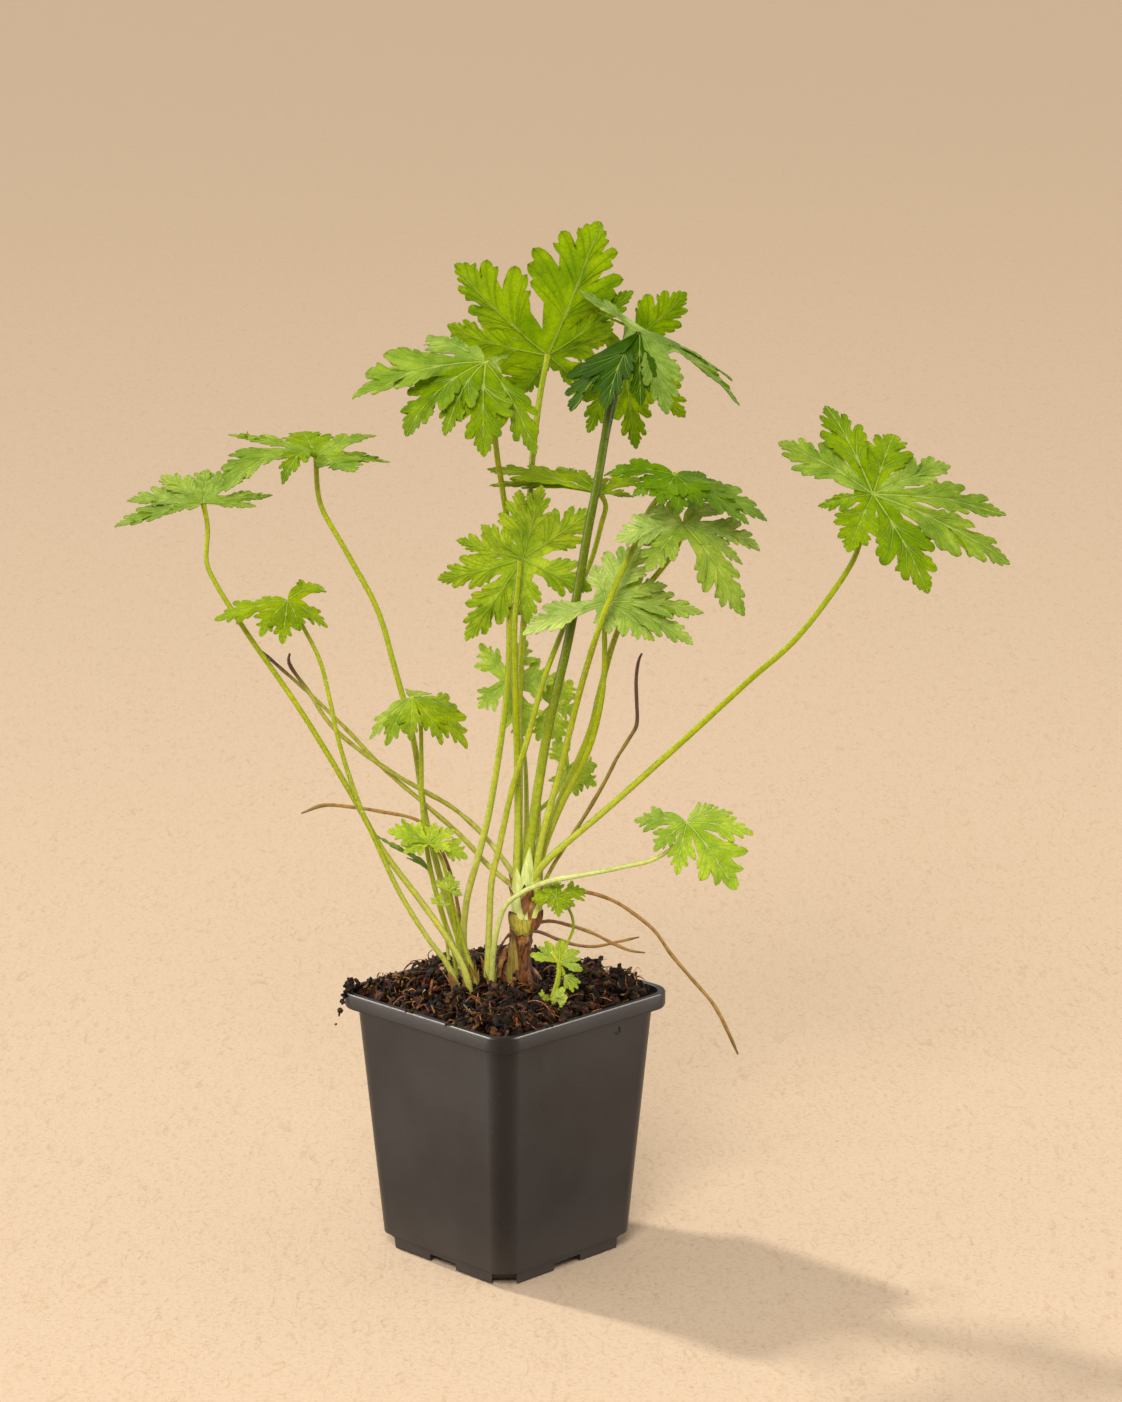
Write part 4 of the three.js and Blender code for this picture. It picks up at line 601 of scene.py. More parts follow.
class Skin:
    """Points in millimetres, their faces, the finish of each face, and values on the points."""

    def __init__(self):
        self.points, self.faces, self.finishes = [], [], []
        self.values = {name: [] for name in SURFACE_VALUES}

    def add(self, points, faces, finish=0, **values):
        start = len(self.points)
        self.points.extend(points)
        self.faces.extend(tuple(start + i for i in face) for face in faces)
        self.finishes.extend([finish] * len(faces))
        for name in SURFACE_VALUES:
            given = values.get(name, 0.0)
            self.values[name].extend(given if hasattr(given, "__len__") else [given] * len(points))

    def piece(self, name, finishes, sharp=50):
        mesh = bpy.data.meshes.new(name)
        mesh.from_pydata([tuple(c * MM for c in p) for p in self.points], [], self.faces)
        for finish in finishes:
            mesh.materials.append(finish)
        mesh.polygons.foreach_set("material_index", self.finishes)
        for value_name in SURFACE_VALUES:
            if any(self.values[value_name]):
                layer = mesh.attributes.new(value_name, "FLOAT", "POINT")
                layer.data.foreach_set("value", np.array(self.values[value_name], np.float32))
        mesh.shade_smooth()
        mesh.set_sharp_from_angle(angle=math.radians(sharp))
        thing = bpy.data.objects.new(name, mesh)
        bpy.context.scene.collection.objects.link(thing)
        return thing


def tube(line, radii, sides):
    """Closed round tube along a line: its points and faces, and each point's share of the length."""
    points, faces, shares = [], [], []
    across = (line[1] - line[0]).orthogonal().normalized()
    for i, centre in enumerate(line):
        ahead = (line[min(i + 1, len(line) - 1)] - line[max(i - 1, 0)]).normalized()
        across = (across - ahead * across.dot(ahead)).normalized()
        other = ahead.cross(across)
        for k in range(sides):
            angle = 2 * math.pi * k / sides
            points.append(centre + (across * math.cos(angle) + other * math.sin(angle)) * radii[i])
            shares.append(i / (len(line) - 1))
    for i in range(len(line) - 1):
        for k in range(sides):
            a, b = i * sides + k, i * sides + (k + 1) % sides
            faces.append((a, b, b + sides, a + sides))
    for end, ring in ((line[0], 0), (line[-1], (len(line) - 1) * sides)):
        points.append(end)
        shares.append(0.0 if ring == 0 else 1.0)
        for k in range(sides):
            a, b = ring + k, ring + (k + 1) % sides
            faces.append((b, a, len(points) - 1) if ring == 0 else (a, b, len(points) - 1))
    return points, faces, shares


# ------------------------------------------------------------------ leaf blades

def bulged(start, end, bulge, count):
    """Points from start to end, in shares of the lobe, swollen away from the midrib."""
    (t0, w0), (t1, w1) = start, end
    dt, dw = t1 - t0, w1 - w0
    for i in range(1, count + 1):
        s = i / count
        swell = 4 * s * (1 - s) * bulge * 0.5
        yield t0 + dt * s - dw * swell, w0 + dw * s + dt * swell


def beyond(edge, share):
    """The part of a half lobe's edge that lies past this share of its midrib."""
    skip = 0
    while edge[skip][0] < min(0.5, share + 0.03):
        skip += 1
    return edge[skip:]


def half_rows(edge, width, first, jitter):
    """Rows from the midrib to the edge after the notch: midrib share, edge point, tooth, run share."""
    rows, last, last_m = [], first, NOTCH_ROW
    lean = jitter.uniform(0.88, 1.08)
    for number, (t, w, m, vein, bulge, count) in enumerate(edge):
        tip = t == 1
        move = 0 if tip else jitter.uniform(-0.01, 0.01)
        reach = 1 if tip else jitter.uniform(0.94, 1.06) * lean
        target = (t + move, w * width * reach)
        for i, (rt, rw) in enumerate(bulged(last, target, bulge, count), 1):
            tooth = 1.0 if i == count and (vein or tip) else 0.0
            rows.append((last_m + (m - last_m) * i / count, (rt, rw), tooth, number + i / count))
        last, last_m = target, m
    return rows


def half_veins(edge, rows, length):
    """Straight runs of each vein of a half lobe, in millimetres: start, end and half width."""
    runs, scale = [], min(1.25, max(0.5, length / 50))
    for i in range(MIDRIB_RUNS):
        half_width = 0.30 - 0.21 * i / MIDRIB_RUNS
        runs.append(((i / MIDRIB_RUNS, 0), ((i + 1) / MIDRIB_RUNS, 0), scale * half_width))
    done = 0
    for _, _, m, vein, _, count in edge:
        done += count
        if vein:
            edge_point = rows[done - 1][1]
            bow = [row_point(m, edge_point, c / VEIN_RUNS) for c in range(VEIN_RUNS + 1)]
            for i, (a, b) in enumerate(zip(bow, bow[1:])):
                runs.append((a, b, scale * (0.07 + vein * 0.16 * (1 - i / (VEIN_RUNS + 1)))))
    return [((a[0] * length, a[1] * length), (b[0] * length, b[1] * length), h) for a, b, h in runs]


def row_point(m, edge_point, c):
    """Point of a row at this share of the way from the midrib out to the edge."""
    t, w = edge_point
    return m + (t - m) * (1 - (1 - c) ** 1.3), w * c**1.15


def gaps_to(runs, flat):
    """Distance from each flat point to its nearest vein, that vein's half width, and 1 for the midrib."""
    a = np.array([r[0] for r in runs])
    b = np.array([r[1] for r in runs])
    half = np.array([r[2] for r in runs])
    p = np.array(flat)
    along = b - a
    share = ((p[:, None] - a) * along).sum(-1) / np.maximum((along**2).sum(-1), 1e-9)
    nearest = a + np.clip(share, 0, 1)[..., None] * along
    gap = np.linalg.norm(p[:, None] - nearest, axis=-1)
    pick = (gap / half).argmin(1)
    rank = np.arange(len(p))
    return gap[rank, pick], half[pick], pick < MIDRIB_RUNS


class Lobe:
    """One lobe of a blade: its midrib from hub to tip, arched, and its two halves, creased upwards."""

    def __init__(self, centre, end, upward, arch, crease):
        self.centre = centre
        self.length = (end - centre).length
        self.along = (end - centre).normalized()
        self.rise = (upward - self.along * upward.dot(self.along)).normalized()
        self.side = self.rise.cross(self.along)
        self.arch, self.crease = arch * self.length, crease * self.length

    def spine(self, t):
        return self.centre + self.along * (t * self.length) + self.rise * (4 * t * (1 - t) * self.arch)

    def off(self, t, w):
        return self.spine(min(t, 1)) + self.side * (w * self.length) + self.rise * (abs(w) * self.crease)


def open_side(share):
    """The free side of an outer lobe, at this share of the way from the hub to the start of its edge."""
    s = share * len(OPEN_SIDE)
    low = min(int(s), len(OPEN_SIDE) - 1)
    a = OPEN_SIDE[low - 1] if low else (0, 0)
    b = OPEN_SIDE[low]
    f = min(1, s - low)
    return a[0] + (b[0] - a[0]) * f, a[1] + (b[1] - a[1]) * f


def spread(a, b):
    """How much wider or slimmer than usual two lobes are, to fill the angle between them."""
    return min(MOST_SPREAD, max(0.5, math.tan(a.along.angle(b.along) / 2) / EVEN_SPREAD))


class Sheet:
    """Points of a blade, starting with its hub, and for each point what its finish needs."""

    def __init__(self, hub, silver):
        self.points, self.faces = [hub], []
        self.gaps, self.halves, self.mains = [0.0], [0.4], [1.0]
        self.margins, self.teeth, self.silver = [0.0], [0.0], [silver]

    def add(self, points, flat, veins, margins, teeth, silver):
        """Adds points, with their places on the flat lobe among its veins, and gives their numbers."""
        start = len(self.points)
        gap, half, main = gaps_to(veins, flat)
        self.points.extend(points)
        self.gaps.extend(gap)
        self.halves.extend(half)
        self.mains.extend(main)
        self.margins.extend(margins)
        self.teeth.extend(teeth)
        self.silver.extend([silver] * len(points))
        return list(range(start, len(self.points)))


def notch_column(sheet, a, b, shares, silver):
    """Points from the hub to the notch between two lobes."""
    half_angle = a.along.angle(b.along) / 2
    middle = [(a.spine(s) + b.spine(s)) * 0.5 for s in shares]
    flat = [(s * a.length * math.cos(half_angle) ** 2, s * a.length * math.sin(half_angle) * math.cos(half_angle))
            for s in shares]
    count = len(shares)
    return sheet.add(middle, flat, [((0, 0), (a.length, 0), 0.4)], [0.0] * (count - 1) + [1.0], [0.0] * count, silver)


def midrib_column(sheet, lobe, web_shares, rows, veins, silver):
    """Points along the midrib, from the hub to the tip."""
    shares = web_shares + [row[0] for row in rows[:-1]]
    points = [lobe.spine(m) for m in shares] + [lobe.spine(1)]
    flat = [(m * lobe.length, 0) for m in shares] + [(lobe.length, 0)]
    at_tip = [0.0] * len(shares) + [1.0]
    return sheet.add(points, flat, veins, at_tip, at_tip, silver)


def half_lobe(sheet, lobe, hand, first, column, rows, veins, grid, web_shares, rib_column, silver):
    """Points and faces between the midrib and one side: a notch's column, or a free side without one."""
    columns, web_rows = grid
    points, flat, margins, teeth, owners = [], [], [], [], []
    for r, m in enumerate(web_shares):
        for k in range(1, columns if column else columns + 1):
            c = k / columns
            if column:
                points.append(lobe.spine(m).lerp(sheet.points[column[r]], c))
                away = points[-1] - lobe.centre
                flat.append((away.dot(lobe.along), abs(away.dot(lobe.side))))
            else:
                out, across = open_side((r + 1) / web_rows)
                t = out * c + m * (1 - c)
                w = across * c
                points.append(lobe.off(t, hand * w))
                flat.append((t * lobe.length, w * lobe.length))
            margins.append(0.0 if column else c)
            teeth.append(0.0)
            owners.append((r, k))
    rest = (sheet.points[column[-1]] - lobe.off(first[0], hand * first[1])) if column else Vector()
    for r, (m, edge_point, is_tooth, run) in enumerate(rows[:-1]):
        fade = max(0.0, 1 - run / 2) ** 2
        for k in range(1, columns + 1):
            c = k / columns
            t, w = row_point(m, edge_point, c)
            points.append(lobe.off(t, hand * w) + rest * (fade * c * c))
            flat.append((t * lobe.length, w * lobe.length))
            margins.append(c)
            teeth.append(is_tooth * c**3)
            owners.append((web_rows + r, k))
    made = dict(zip(owners, sheet.add(points, flat, veins, margins, teeth, silver)))
    last = web_rows + len(rows) - 1

    def at(r, k):
        if r < 0:
            return 0
        if k == 0 or r == last:
            return rib_column[r]
        if column and k == columns and r < web_rows:
            return column[r]
        return made[r, k]

    for r in range(-1, last):
        for k in range(columns):
            corners = [at(r, k), at(r + 1, k), at(r + 1, k + 1), at(r, k + 1)]
            ring = [c for i, c in enumerate(corners) if c != corners[i - 1]]
            if len(set(ring)) > 2:
                sheet.faces.append(tuple(ring if hand > 0 else ring[::-1]))


def sheet_of(leaf, seed):
    """A blade as one sheet, quilted between its veins and waved at its edge: the sheet and its points."""
    jitter = random.Random(seed)
    edge = ROUND_EDGE if leaf.get("round") else SMALL_EDGE if leaf.get("small") else FULL_EDGE
    grid = SMALL_GRID if leaf.get("small") else FULL_GRID
    web_rows = grid[1]
    centre, upward = Vector(leaf["hub"]), Vector(leaf["up"]).normalized()
    ends = [Vector(tip) for tip in leaf["tips"]]
    count = len(ends)
    wide = [w if isinstance(w, tuple) else (w, w) for w in leaf.get("wide", [1] * count)]
    arches = leaf.get("arches", [leaf.get("arch", 0.06)] * count)
    silver = leaf.get("silver", 0)
    silver = silver if isinstance(silver, list) else [silver] * count
    turning = sum((a - centre).cross(b - centre).dot(upward) for a, b in zip(ends, ends[1:]))
    if turning < 0:
        ends, arches, silver = ends[::-1], arches[::-1], silver[::-1]
        wide = [w[::-1] for w in wide[::-1]]
    lobes = [Lobe(centre, end, upward, arch, leaf.get("crease", 0.1)) for end, arch in zip(ends, arches)]
    jitter.random()  # an unused draw, which keeps the others in step

    sheet = Sheet(centre, sum(silver) / count)
    web_shares = [NOTCH_ROW * (i + 1) / web_rows for i in range(web_rows)]
    reach = leaf.get("cut", 0.28) / NOTCH_ROW
    notches = []
    for a, b, p, q in zip(lobes, lobes[1:], silver, silver[1:]):
        deep = jitter.uniform(0.8, 1.15)
        notches.append(notch_column(sheet, a, b, [m * reach * deep for m in web_shares], (p + q) / 2))

    for index, lobe in enumerate(lobes):
        columns, others, firsts = {}, {}, {}
        for hand in (1, -1):
            others[hand] = lobes[index + hand] if 0 <= index + hand < count else None
            columns[hand] = notches[index if hand > 0 else index - 1] if others[hand] else None
            firsts[hand] = OPEN_SIDE[-1]
            if others[hand]:
                away = sheet.points[columns[hand][-1]] - lobe.centre
                firsts[hand] = (away.dot(lobe.along) / lobe.length, abs(away.dot(lobe.side)) / lobe.length)
        past = beyond(edge, max(first[0] for first in firsts.values()))
        rib_column = None
        for hand in (1, -1):
            width = (spread(lobe, others[hand]) if others[hand] else 0.9) * wide[index][hand > 0]
            rows = half_rows(past, width, firsts[hand], jitter)
            veins = half_veins(past, rows, lobe.length)
            if rib_column is None:
                rib_column = midrib_column(sheet, lobe, web_shares, rows, veins, silver[index])
            half_lobe(sheet, lobe, hand, firsts[hand], columns[hand], rows, veins, grid, web_shares, rib_column,
                      silver[index])

    spot = np.array([p[:] for p in sheet.points])
    size = sum(lobe.length for lobe in lobes) / count
    quilt = QUILT * (size / 50) * (1 - np.exp(-((np.array(sheet.gaps) / 1.8) ** 2)))
    rolls = np.array([noise.noise(Vector(p) / 11 + Vector((seed, 0, 0))) for p in spot]) * 0.05 * size
    from_hub = np.linalg.norm(spot - np.array(centre), axis=1) / size
    ripple = np.array([noise.noise(Vector(p) / 4 + Vector((0, seed, 0))) for p in spot]) * WAVE * size
    lift = quilt - rolls * np.clip(from_hub, 0, 1) ** 2 - ripple * np.array(sheet.margins)
    return sheet, spot + sheet_normals(spot, sheet.faces) * lift[:, None]


def sheet_normals(spot, faces):
    """The way each point of a sheet looks, from the faces round it."""
    normals = np.zeros_like(spot)
    triangles = np.array([t for f in faces for t in ([f] if len(f) == 3 else [f[:3], (f[0], f[2], f[3])])])
    a, b, c = (spot[triangles[:, corner]] for corner in range(3))
    facing = np.cross(b - a, c - a)
    for corner in range(3):
        np.add.at(normals, triangles[:, corner], facing)
    return normals / np.maximum(np.linalg.norm(normals, axis=1), 1e-9)[:, None]


def add_blade(skin, leaf, seed, finish=0):
    """The sheet given two faces: veins sunk in the upper one and standing out on the lower one."""
    sheet, spot = sheet_of(leaf, seed)
    faces, normals = sheet.faces, sheet_normals(spot, sheet.faces)
    gap, half, margin = (np.array(values) for values in (sheet.gaps, sheet.halves, sheet.margins))
    ratio = np.minimum(gap / half, 60)
    ridge = np.exp(-(ratio**2) / 2) * half
    thin = BLADE * (1 - 0.35 * margin)
    upper = spot + normals * (thin / 2 - 0.8 * ridge)[:, None]
    lower = spot - normals * (thin / 2 + 1.3 * ridge)[:, None]
    count = len(spot)
    sides = {(a, b): True for face in faces for a, b in zip(face, face[1:] + face[:1])}
    walls = [(b, a, a + count, b + count) for a, b in sides if (b, a) not in sides]
    both = faces + [tuple(i + count for i in face[::-1]) for face in faces] + walls
    on_both = {"rib": ratio, "main": np.array(sheet.mains, float), "margin": margin, "tooth": sheet.teeth}
    skin.add(
        [Vector(p) for p in np.vstack([upper, lower])], both, finish,
        **{name: np.tile(values, 2) for name, values in on_both.items()},
        under=np.concatenate([np.zeros(count), np.ones(count)]),
        silver=np.concatenate([sheet.silver, np.full(count, leaf.get("back", 0.0))]),
    )


def add_hairs(down, line, radii, seed):
    """Fine hairs standing off a stalk, each a slim closed spike that leans a little downwards."""
    dice = random.Random(seed)
    for here, below, radius in zip(line, line[1:], radii):
        way = (below - here).normalized()
        across = way.orthogonal().normalized()
        for _ in range(round(HAIRS_PER_MM * (below - here).length)):
            out = Matrix.Rotation(dice.uniform(0, 2 * math.pi), 3, way) @ across
            root = here.lerp(below, dice.random()) + out * radius * 0.96
            tip = root + (out + way * dice.uniform(-0.2, 0.6)) * dice.uniform(*HAIR_LENGTH)
            side, heel = out.cross(way) * HAIR_RADIUS, way * HAIR_RADIUS * 0.5
            foot = [root + way * HAIR_RADIUS, root + side - heel, root - side - heel]
            down.add([*foot, tip], [(0, 2, 1), (0, 1, 3), (1, 2, 3), (2, 0, 3)])


def add_stalk(skin, points, radius, foot=1.25, step=2.5, sides=10, reach=9, past=6, paling=1.0, down=None):
    """A stalk from the hub down past its seat: a little thick under the blade and flared at its foot."""
    seat = Vector(points[-1])
    line = smooth_line([*points, seat + (seat - Vector(points[-2])).normalized() * past], step)
    total = step * (len(line) - 1)
    radii = []
    for i in range(len(line)):
        s = i / (len(line) - 1)
        swell = (STALK_SWELL - 1) * math.exp(-((s * total / 2.2) ** 2))
        flare = (foot - 1) * math.exp(-(((1 - s) * total / reach) ** 2))
        radii.append((radius[0] + (radius[1] - radius[0]) * s) * (1 + swell + flare) * 0.97)
    tube_points, faces, shares = tube(line, radii, sides)
    skin.add(tube_points, faces, 1, along=[1 - s * paling for s in shares])
    if down:
        add_hairs(down, line, radii, len(down.points))


# ------------------------------------------------------------------ finishes

class Finish:
    """A material being built: its node tree with short ways to add and join nodes."""

    def __init__(self, name):
        self.material = bpy.data.materials.new(name)
        self.material.use_nodes = True
        self.tree = self.material.node_tree
        self.surface = self.tree.nodes["Principled BSDF"]
        self.place = self.add("ShaderNodeTexCoord").outputs["Object"]

    def add(self, kind, **settings):
        node = self.tree.nodes.new(kind)
        for key, value in settings.items():
            if hasattr(node, key):
                setattr(node, key, value)
            else:
                self.feed(node.inputs[key.replace("_", " ").title()], value)
        return node

    def feed(self, socket, value):
        if isinstance(value, bpy.types.NodeSocket):
            self.tree.links.new(value, socket)
        else:
            socket.default_value = value

    def speckle(self, scale, detail=3, roughness=0.5, stretch=(1, 1, 1), distortion=0.0):
        place = self.place
        if stretch != (1, 1, 1):
            mapping = self.add("ShaderNodeMapping")
            self.feed(mapping.inputs["Vector"], place)
            mapping.inputs["Scale"].default_value = stretch
            place = mapping.outputs["Vector"]
        node = self.add("ShaderNodeTexNoise")
        self.feed(node.inputs["Vector"], place)
        sockets = ("Scale", "Detail", "Roughness", "Distortion")
        for name, value in zip(sockets, (scale, detail, roughness, distortion)):
            node.inputs[name].default_value = value
        return node.outputs["Fac"]

    def cells(self, scale, feature="DISTANCE_TO_EDGE"):
        node = self.add("ShaderNodeTexVoronoi", feature=feature)
        self.feed(node.inputs["Vector"], self.place)
        node.inputs["Scale"].default_value = scale
        return node.outputs["Color" if feature == "F1" else "Distance"]

    def value(self, name):
        return self.add("ShaderNodeAttribute", attribute_type="GEOMETRY", attribute_name=name).outputs["Fac"]

    def fit(self, value, low, high, to_low=0.0, to_high=1.0):
        """The value moved smoothly from one range to another."""
        node = self.add("ShaderNodeMapRange", interpolation_type="SMOOTHSTEP")
        sockets = ("Value", "From Min", "From Max", "To Min", "To Max")
        for name, given in zip(sockets, (value, low, high, to_low, to_high)):
            self.feed(node.inputs[name], given)
        return node.outputs["Result"]

    def mix(self, factor, first, second, blend="MIX"):
        node = self.add("ShaderNodeMix", data_type="RGBA", blend_type=blend)
        self.feed(node.inputs[0], factor)
        self.feed(node.inputs[6], first)
        self.feed(node.inputs[7], second)
        return node.outputs[2]

    def tint(self, factor, body, colour, blend="MULTIPLY"):
        """The body with this colour blended in where the factor is high."""
        return self.mix(factor, body, self.mix(1.0, body, colour, blend))

    def maths(self, operation, first, second=0.0):
        node = self.add("ShaderNodeMath", operation=operation)
        self.feed(node.inputs[0], first)
        self.feed(node.inputs[1], second)
        return node.outputs[0]

    def bump(self, height, strength, distance):
        node = self.add("ShaderNodeBump")
        self.feed(node.inputs["Height"], height)
        node.inputs["Strength"].default_value = strength
        node.inputs["Distance"].default_value = distance
        self.feed(self.surface.inputs["Normal"], node.outputs["Normal"])
        return node.outputs["Normal"]

    def set(self, **sockets):
        """Feeds sockets of the surface, with _ for each space in a name."""
        for name, value in sockets.items():
            self.feed(self.surface.inputs[name.replace("_", " ")], value)


def rgb(red, green, blue):
    """A colour given as it looks on a screen, 0 to 255."""
    return tuple((c / 255) ** 2.2 for c in (red, green, blue)) + (1.0,)


def rgbs(*colours):
    """Several such colours."""
    return [rgb(*colour) for colour in colours]


def leaf_finish(name, upper, lower, vein, glow, through):
    """Green blade: mottled, pale ribs, darker fine veins, brown tooth tips, a painted silvery sheen on some lobes,
    painted shade on others, and paler undersides.
    """
    f = Finish(name)
    upper, lower, vein, glow, tip = rgbs(upper, lower, vein, glow, TOOTH_TIP)
    under, rib, main, margin, tooth, silver = map(f.value, ("under", "rib", "main", "margin", "tooth", "silver"))
    tone = f.mix(f.fit(f.speckle(75, 3, 0.55), 0.36, 0.66), rgb(255, 255, 255), rgb(206, 222, 190))
    tone = f.tint(f.fit(f.speckle(330, 3, 0.6), 0.42, 0.7, 0, 0.5), tone, rgb(214, 226, 170))
    net = f.cells(620)
    tone = f.tint(f.fit(net, 0.0, 0.07, 0.42, 0.0), tone, rgb(176, 200, 130))
    beside_rib = f.maths("MULTIPLY", f.fit(rib, 1.5, 7.0, 0.5, 0.0), f.fit(under, 0, 1, 1.0, 0.5))
    tone = f.tint(beside_rib, tone, rgb(190, 208, 150))
    tone = f.tint(f.fit(margin, 0.9, 1.0, 0, 0.3), tone, rgb(196, 180, 120))
    near_rib = f.fit(f.maths("ADD", rib, f.maths("MULTIPLY", under, 0.3)), 0.6, 1.5, 1.0, 0.0)
    line = f.maths("MULTIPLY", near_rib, f.fit(main, 0, 1, 0.45, 0.7))
    dim = f.maths("MULTIPLY", line, f.fit(main, 0, 1, 1.0, 0.0))
    body = f.mix(1.0, f.mix(under, upper, lower), tone, "MULTIPLY")
    # Painted sheen: the upper face is mixed towards a silvery green where its sheen value is above 0; on the
    # underside the same mix makes it paler.
    sheen_pallor = f.maths("MULTIPLY", silver, f.fit(f.speckle(160, 4, 0.6), 0.25, 0.7, 0.55, 1.0))
    body = f.mix(sheen_pallor, body, f.mix(1.0, f.mix(under, rgb(204, 218, 140), rgb(206, 228, 84)), tone, "MULTIPLY"))
    # Painted shade: a dark green where the sheen value is below 0.
    body = f.mix(f.fit(silver, -0.5, 0.0, 0.8, 0.0), body, rgb(30, 68, 0))
    edged = f.mix(line, body, f.mix(under, vein, f.mix(main, rgb(104, 130, 26), rgb(186, 198, 96))))
    body = f.mix(f.fit(tooth, 0.7, 1.0, 0, 0.7), edged, tip)
    f.set(Base_Color=body, Roughness=f.fit(under, 0, 1, 0.52, 0.66), Specular_IOR_Level=0.06)
    relief = f.maths("MULTIPLY", f.fit(rib, 0.4, 2.4, 0, 1), f.fit(under, 0, 1, 0.8, -1.2))
    height = f.maths("ADD", f.fit(net, 0, 0.14, 0, 0.5), relief)
    height = f.maths("ADD", height, f.maths("MULTIPLY", f.speckle(1300, 2), 0.35))
    normal = f.bump(height, 0.6, 0.0002)
    thin = f.add("ShaderNodeBsdfTranslucent")
    # The light that shines through gets the same painted sheen and painted shade.
    lit = f.mix(sheen_pallor, glow, rgb(228, 240, 116))
    lit = f.mix(f.fit(silver, -0.5, 0.0, 0.8, 0.0), lit, rgb(48, 96, 0))
    lit = f.mix(dim, f.mix(1.0, lit, tone, "MULTIPLY"), rgb(116, 140, 20))
    f.feed(thin.inputs["Color"], f.mix(f.fit(tooth, 0.7, 1.0, 0, 0.7), lit, tip))
    f.feed(thin.inputs["Normal"], normal)
    blend = f.add("ShaderNodeMixShader")
    blend.inputs["Fac"].default_value = through
    f.feed(blend.inputs[1], f.surface.outputs["BSDF"])
    f.feed(blend.inputs[2], thin.outputs["BSDF"])
    f.feed(f.tree.nodes["Material Output"].inputs["Surface"], blend.outputs["Shader"])
    return f.material


def stalk_finish(name, foot, low, middle, top, foot_share):
    """Stalk that pales towards its base, with fine specks and soft patches."""
    f = Finish(name)
    foot, low, middle, top = rgbs(foot, low, middle, top)
    along = f.value("along")
    body = f.mix(f.fit(along, 0.1, 0.5), low, middle)
    body = f.mix(f.fit(along, 0.55, 1.0), body, top)
    body = f.mix(f.fit(along, 0.0, foot_share, 1.0, 0.0), body, foot)
    body = f.tint(f.fit(f.speckle(700, 3, 0.6), 0.35, 0.75, 0, 0.5), body, rgb(190, 185, 130))
    body = f.tint(f.fit(f.speckle(120, 2), 0.5, 0.8, 0, 0.3), body, rgb(255, 235, 150), "OVERLAY")
    f.set(Base_Color=body, Roughness=0.5, Specular_IOR_Level=0.1, Subsurface_Weight=0.12,
          Subsurface_Radius=(0.0012, 0.0014, 0.0004), Subsurface_Scale=0.5)
    f.bump(f.speckle(1500, 3, 0.6), 0.35, 0.0002)
    return f.material


def woody_finish(name, dark, light, patch, stretch, roughness, rim):
    """Bark, dry scale or husk: lengthwise fibres in two browns with odd paler patches, and a dry rim."""
    f = Finish(name)
    fibre = f.speckle(900, 5, 0.65, stretch, 0.6)
    body = f.mix(f.fit(fibre, 0.32, 0.68), *rgbs(dark, light))
    body = f.mix(f.fit(f.speckle(170, 3), 0.52, 0.72, 0, 0.8), body, rgb(*patch))
    if rim:
        body = f.mix(f.fit(f.value("margin"), 0.55, 0.9), body, rgb(*rim))
    f.set(Base_Color=body, Roughness=roughness, Specular_IOR_Level=0.25)
    f.bump(fibre, 0.8, 0.0005)
    return f.material


def along_finish(name, tip, middle, foot, tip_share):
    """A withering stalk: its own colour from foot to tip, wrinkled along its length."""
    f = Finish(name)
    tip, middle, foot = rgbs(tip, middle, foot)
    along = f.value("along")
    body = f.mix(f.fit(along, 0.0, 0.35), foot, middle)
    body = f.mix(f.fit(along, tip_share, tip_share + 0.12), body, tip)
    body = f.tint(f.fit(f.speckle(420, 4, 0.6), 0.4, 0.7, 0, 0.55), body, rgb(165, 135, 90))
    f.set(Base_Color=body, Roughness=0.7, Specular_IOR_Level=0.3)
    f.bump(f.speckle(1100, 4, 0.65), 0.7, 0.0004)
    return f.material


def soil_finish(name, dark, light, fleck, roughness, fineness):
    """Moist potting mix: near-black grains with reddish-brown fibres and a few tan flecks, with painted shade in the
    hollows.
    """
    f = Finish(name)
    grain = f.speckle(fineness, 6, 0.68, distortion=0.8)
    body = f.mix(f.fit(grain, 0.42, 0.72), *rgbs(dark, light))
    body = f.mix(f.fit(f.speckle(300, 4, 0.6), 0.6, 0.74, 0, 0.6), body, rgb(*fleck))
    body = f.tint(0.35, body, f.cells(330, "F1"), "SOFT_LIGHT")
    # Painted shade: darker where the height share is low, in the hollows between clods.
    body = f.tint(f.fit(f.value("along"), 0.15, 0.7, 1, 0), body, rgb(112, 98, 86))
    f.set(Base_Color=body, Roughness=roughness, Specular_IOR_Level=0.2)
    f.bump(f.maths("ADD", grain, f.maths("MULTIPLY", f.speckle(1900, 3), 0.5)), 0.9, 0.0007)
    return f.material


def down_finish():
    """The pale, silky hairs of the stalks."""
    f = Finish("stalk_down")
    body = f.mix(f.fit(f.speckle(400, 2), 0.3, 0.7), rgb(196, 206, 132), rgb(222, 228, 176))
    f.set(Base_Color=body, Roughness=0.55, Specular_IOR_Level=0.2)
    return f.material


